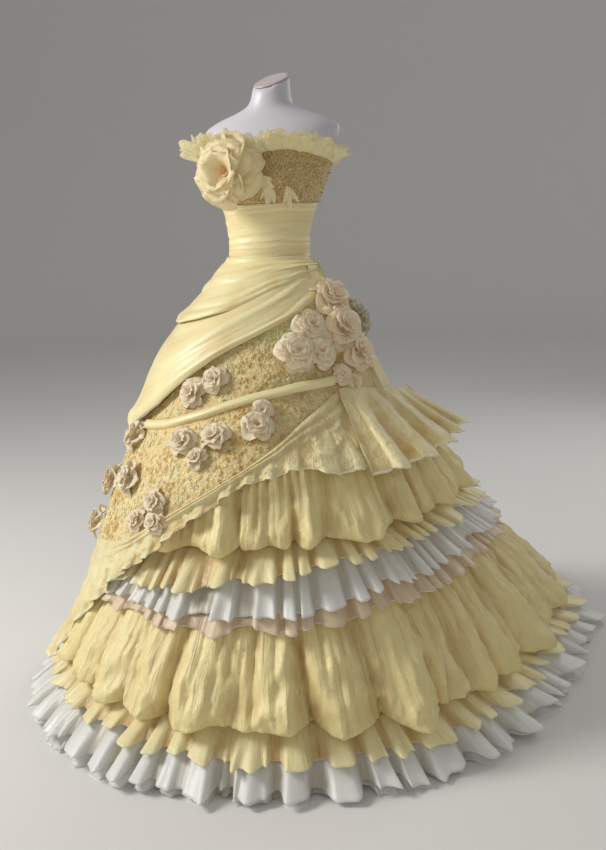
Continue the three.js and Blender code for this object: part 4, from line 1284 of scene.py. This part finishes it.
def make_neckline_frill():
    """Sheer frills along the neckline, with loose petals laid over their foot."""
    edges, skin = Edges("neckline_ruffle"), Skin("bodice_shell", 1.2, 0.8)
    parts = []
    for row in FRILLS:
        strip, _ = grid_mesh("frill", 420, 6, frill_place(edges, skin, **row), closed=True)
        parts.append((strip, Matrix.Identity(4)))
    draw = np.random.default_rng(151)
    for k in range(NECK_PETALS):
        angle = TURN * (k + draw.uniform(-0.3, 0.3)) / NECK_PETALS
        height = float(edges.lower(np.array(angle)))
        radius = float(skin(np.array(angle), np.array(height - 0.004))) + 0.006
        out = Vector((math.cos(angle), math.sin(angle), 0))
        side = Vector((-math.sin(angle), math.cos(angle), 0))
        tilt = math.radians(draw.uniform(20, 45))
        up = Vector((0, 0, 1)) * math.cos(tilt) + out * math.sin(tilt)
        frame = axes_matrix(side, up, side.cross(up))
        size = draw.uniform(0.8, 1.15)
        shape = petal_shape(0.050 * size, 0.040 * size, 0.006, 0.010, 160 + k, frill=0.004)
        leaf, _ = grid_mesh("neck_petal", 9, 8, shape)
        base = Matrix.Translation(out * radius + Vector((0, 0, height - 0.010)))
        parts.append((leaf, base @ frame @ Matrix.Rotation(draw.uniform(-0.4, 0.4), 4, "Z")))
    joined("neckline_petals", "neckline_ruffle", parts, "petal")


LEAVES = (
    # node, its turn from pointing down in degrees, its length and its width
    ("bust_leaf_1", 62, 0.052, 0.020),
    ("bust_leaf_2", -16, 0.056, 0.017),
    ("bust_leaf_3", 10, 0.060, 0.015),
)


def make_leaves():
    """Three bunches of long pointed petals that hang from the bust rose."""
    for k, (node, turn, length, width) in enumerate(LEAVES):
        place, facing, _ = rose_seat(node)
        level = Vector((0, 0, 1)).cross(facing).normalized()
        down = facing.cross(level).normalized() * -1
        frame = axes_matrix(down.cross(facing), down, facing)
        parts = []
        for copy, (lean, size) in enumerate(((0, 1.0), (26, 0.85), (-24, 0.75))):
            shape = petal_shape(width * size, length * size, 0.005, -0.004, 300 + 9 * k + copy, point=1.0)
            leaf, _ = grid_mesh("leaf", 7, 10, shape)
            spin = Matrix.Rotation(math.radians(turn + lean), 4, "Z")
            rise = Matrix.Translation(place + facing * (0.002 + 0.001 * copy) - down * 0.3 * length)
            parts.append((leaf, rise @ frame @ spin @ Matrix.Rotation(math.radians(8), 4, "X")))
        joined(node + "_petals", node, parts, "petal")


# Operators


def frame_copy(node, name, sharp_angle):
    """A welded copy of a frame piece in quads, with the edges sharper than an angle kept crisp."""
    mesh = bpy.data.meshes.new(name)
    with building(mesh, NODES[node].data) as bm:
        bmesh.ops.remove_doubles(bm, verts=bm.verts[:], dist=WELD)
        bmesh.ops.join_triangles(bm, faces=bm.faces[:], angle_face_threshold=0.7, angle_shape_threshold=0.9)
        crease = bm.edges.layers.float.new("crease_edge")
        for edge in bm.edges:
            if edge.calc_face_angle(0) > sharp_angle:
                edge[crease] = 0.9
    return mesh


SHELLS = (
    # piece, the frame piece it stands for, finish, and the angle in degrees past which an edge stays crisp
    ("dress_form", "form_torso", "shell", 55),
    ("neck_cap", "form_neck_cap", "cap", 40),
)


class GOWN_OT_materials(bpy.types.Operator):
    """Makes every finish."""

    bl_idname = "gown.materials"
    bl_label = "Finishes"

    def execute(self, context):
        make_materials(context.scene.gown_colours)
        return {"FINISHED"}


class GOWN_OT_form(bpy.types.Operator):
    """Makes the dress form's shell, its neck cap and the finish of its stand."""

    bl_idname = "gown.form"
    bl_label = "Dress form"

    def execute(self, context):
        for name, node, finish, sharp in SHELLS:
            piece = new_piece(name, frame_copy(node, name, math.radians(sharp)), finish, [node])
            smooth = piece.modifiers.new("smooth", "SUBSURF")
            smooth.levels = smooth.render_levels = 2
        for node in ("stand_foot", "stand_pole"):
            NODES[node].data.materials.clear()
            NODES[node].data.materials.append(MATERIALS["steel"])
        return {"FINISHED"}


class GOWN_OT_foundation(bpy.types.Operator):
    """Makes the skirt that carries the tiers."""

    bl_idname = "gown.foundation"
    bl_label = "Foundation skirt"

    def execute(self, context):
        cloth("foundation_skirt", foundation_place, "lining", closed=True)
        return {"FINISHED"}


class GOWN_OT_puffs(bpy.types.Operator):
    """Makes the two puffed tiers."""

    bl_idname = "gown.puffs"
    bl_label = "Puffed tiers"

    def execute(self, context):
        for node, shape in PUFFS.items():
            cloth(node, puff_place(node, **shape), "puff", closed=True)
        return {"FINISHED"}


class GOWN_OT_ruffles(bpy.types.Operator):
    """Makes the ruffles of the middle and the lower seam, and the hem veil."""

    bl_idname = "gown.ruffles"
    bl_label = "Ruffles"

    def execute(self, context):
        for node, finish, shape in RUFFLES:
            cloth(node, ruffle_place(node, **shape), finish, closed=True, hem=True)
        return {"FINISHED"}


class GOWN_OT_lace(bpy.types.Operator):
    """Makes the embroidered lace across the hips."""

    bl_idname = "gown.lace"
    bl_label = "Hip lace"

    def execute(self, context):
        make_lace_panel()
        return {"FINISHED"}


class GOWN_OT_drapes(bpy.types.Operator):
    """Makes the overskirt, the swathes, the waist tab and the jabot."""

    bl_idname = "gown.drapes"
    bl_label = "Drapes"

    def execute(self, context):
        for node, finish, hem, shape in DRAPES:
            cloth(node, drape_place(node, **shape), finish, hem=hem)
        return {"FINISHED"}


class GOWN_OT_bodice(bpy.types.Operator):
    """Makes the beaded bodice and the pleated midriff."""

    bl_idname = "gown.bodice"
    bl_label = "Bodice"

    def execute(self, context):
        make_bodice()
        make_neckline_frill()
        return {"FINISHED"}


class GOWN_OT_roses(bpy.types.Operator):
    """Makes the roses on the hip and the lace, the bust rose with its petals, and the tulle tuft."""

    bl_idname = "gown.roses"
    bl_label = "Roses"

    def execute(self, context):
        for seed, node in enumerate(sorted(n for n in NODES if n.startswith(("hip_rose", "lace_rose")))):
            make_bloom(node + "_petals", node, node.split("_")[0], "rose", seed, seed)
        make_bloom("bust_rose_petals", "bust_rose", "bust", "peach", 5, 0.7)
        make_leaves()
        make_bloom("tulle_tuft_frills", "tulle_tuft", "tuft", "tulle", 3, 0)
        return {"FINISHED"}


CAMERA = {
    "distance": 2.8,  # from the form's axis, along the floor
    "height": 1.2,
    "azimuth": 20.0,
    "pitch": -10.54,
    "yaw": 1.43,
    "roll": 2.0,
    "lens": 46.25,
}


def camera_matrix():
    """Where the camera stands, over the gown's left front, and how it looks and tilts."""
    yaw, pitch, roll = (math.radians(CAMERA[key]) for key in ("yaw", "pitch", "roll"))
    forward = Vector((math.sin(yaw) * math.cos(pitch), math.cos(yaw) * math.cos(pitch), math.sin(pitch)))
    right = Vector((math.cos(yaw), -math.sin(yaw), 0))
    up = right.cross(forward)
    tilted = right * math.cos(roll) - up * math.sin(roll)
    top = up * math.cos(roll) + right * math.sin(roll)
    stand = Matrix.Translation((0, -CAMERA["distance"], CAMERA["height"]))
    round_axis = Matrix.Rotation(math.radians(CAMERA["azimuth"]), 4, "Z")
    return round_axis @ stand @ axes_matrix(tilted, top, -forward)


BACKDROP = {"floor": 9.0, "bend": 3.0, "wall": 3.0}  # the floor's radius, its round rise and the wall above


def backdrop_mesh():
    """A round floor that rises smoothly into a wall, so that no horizon shows from any side."""
    mesh = bpy.data.meshes.new("floor")
    with building(mesh) as bm:
        rim = [bm.verts.new((0, 0, 0)), bm.verts.new((BACKDROP["floor"], 0, 0))]
        steps = 12
        for k in range(1, steps + 1):
            turn = 0.5 * math.pi * k / steps
            out = BACKDROP["floor"] + BACKDROP["bend"] * math.sin(turn)
            rim.append(bm.verts.new((out, 0, BACKDROP["bend"] * (1 - math.cos(turn)))))
        rim.append(bm.verts.new((out, 0, BACKDROP["bend"] + BACKDROP["wall"])))
        lines = [bm.edges.new(pair) for pair in zip(rim, rim[1:])]
        way = {"cent": (0, 0, 0), "axis": (0, 0, 1), "angle": TURN, "steps": 64, "use_merge": True}
        bmesh.ops.spin(bm, geom=rim + lines, **way)
        bmesh.ops.remove_doubles(bm, verts=bm.verts[:], dist=WELD)
        bmesh.ops.recalc_face_normals(bm, faces=bm.faces[:])
        for face in bm.faces:
            face.smooth = True
    return mesh


LIGHTS = (
    # name, place, size, power, colour
    ("key", (-3.3, -1.7, 3.0), 1.6, 150, (1.0, 0.98, 0.94)),
    ("front", (1.6, -3.6, 1.8), 2.0, 10, (1.0, 0.93, 0.84)),
    ("back", (1.8, 3.2, 2.6), 2.4, 26, (1.0, 0.98, 0.95)),
)
AIM = Vector((0, 0, 0.8))  # where the lamps point
SKY = {"Color": (0.95, 0.95, 0.95, 1), "Strength": 0.31}


class GOWN_OT_stage(bpy.types.Operator):
    """Makes the floor, the lights and the camera."""

    bl_idname = "gown.stage"
    bl_label = "Studio"

    def execute(self, context):
        scene = context.scene
        mesh = backdrop_mesh()
        floor = bpy.data.objects.new("floor", mesh)
        mesh.materials.append(MATERIALS["floor"])
        scene.collection.objects.link(floor)
        for name, place, size, power, colour in LIGHTS:
            lamp = bpy.data.lights.new(name, "AREA")
            lamp.size, lamp.energy, lamp.color = size, power, colour
            light = bpy.data.objects.new(name, lamp)
            light.location = place
            light.rotation_euler = (AIM - Vector(place)).to_track_quat("-Z", "Y").to_euler()
            scene.collection.objects.link(light)
        world = bpy.data.worlds.new("studio")
        world.use_nodes = True
        for key, value in SKY.items():
            world.node_tree.nodes["Background"].inputs[key].default_value = value
        scene.world = world
        lens = bpy.data.cameras.new("camera")
        lens.lens, lens.sensor_width = CAMERA["lens"], 36
        camera = bpy.data.objects.new("camera", lens)
        camera.matrix_world = camera_matrix()
        scene.collection.objects.link(camera)
        scene.camera = camera
        scene.view_settings.view_transform = "Standard"
        return {"FINISHED"}


OPERATORS = (
    GOWN_OT_materials, GOWN_OT_stage, GOWN_OT_form, GOWN_OT_foundation, GOWN_OT_puffs, GOWN_OT_ruffles,
    GOWN_OT_bodice, GOWN_OT_lace, GOWN_OT_drapes, GOWN_OT_roses,
)


class GOWN_PT_panel(bpy.types.Panel):
    """Lists the gown's settings and pieces in the sidebar."""

    bl_idname = "GOWN_PT_panel"
    bl_label = "Ball gown"
    bl_space_type = "VIEW_3D"
    bl_region_type = "UI"
    bl_category = "Gown"

    def draw(self, context):
        for settings in (context.scene.gown_sizes, context.scene.gown_colours):
            box = self.layout.box()
            for key in settings.__annotations__:
                box.prop(settings, key)
        for operator in OPERATORS:
            self.layout.operator(operator.bl_idname)


def register():
    for kind in (GownColours, GownSizes, *OPERATORS, GOWN_PT_panel):
        bpy.utils.register_class(kind)
    bpy.types.Scene.gown_colours = PointerProperty(type=GownColours)
    bpy.types.Scene.gown_sizes = PointerProperty(type=GownSizes)


def unregister():
    del bpy.types.Scene.gown_sizes
    del bpy.types.Scene.gown_colours
    for kind in (GOWN_PT_panel, *reversed(OPERATORS), GownSizes, GownColours):
        bpy.utils.unregister_class(kind)


def main():
    register()
    for operator in OPERATORS:
        group, name = operator.bl_idname.split(".")
        getattr(getattr(bpy.ops, group), name)()


if __name__ == "__main__":
    main()
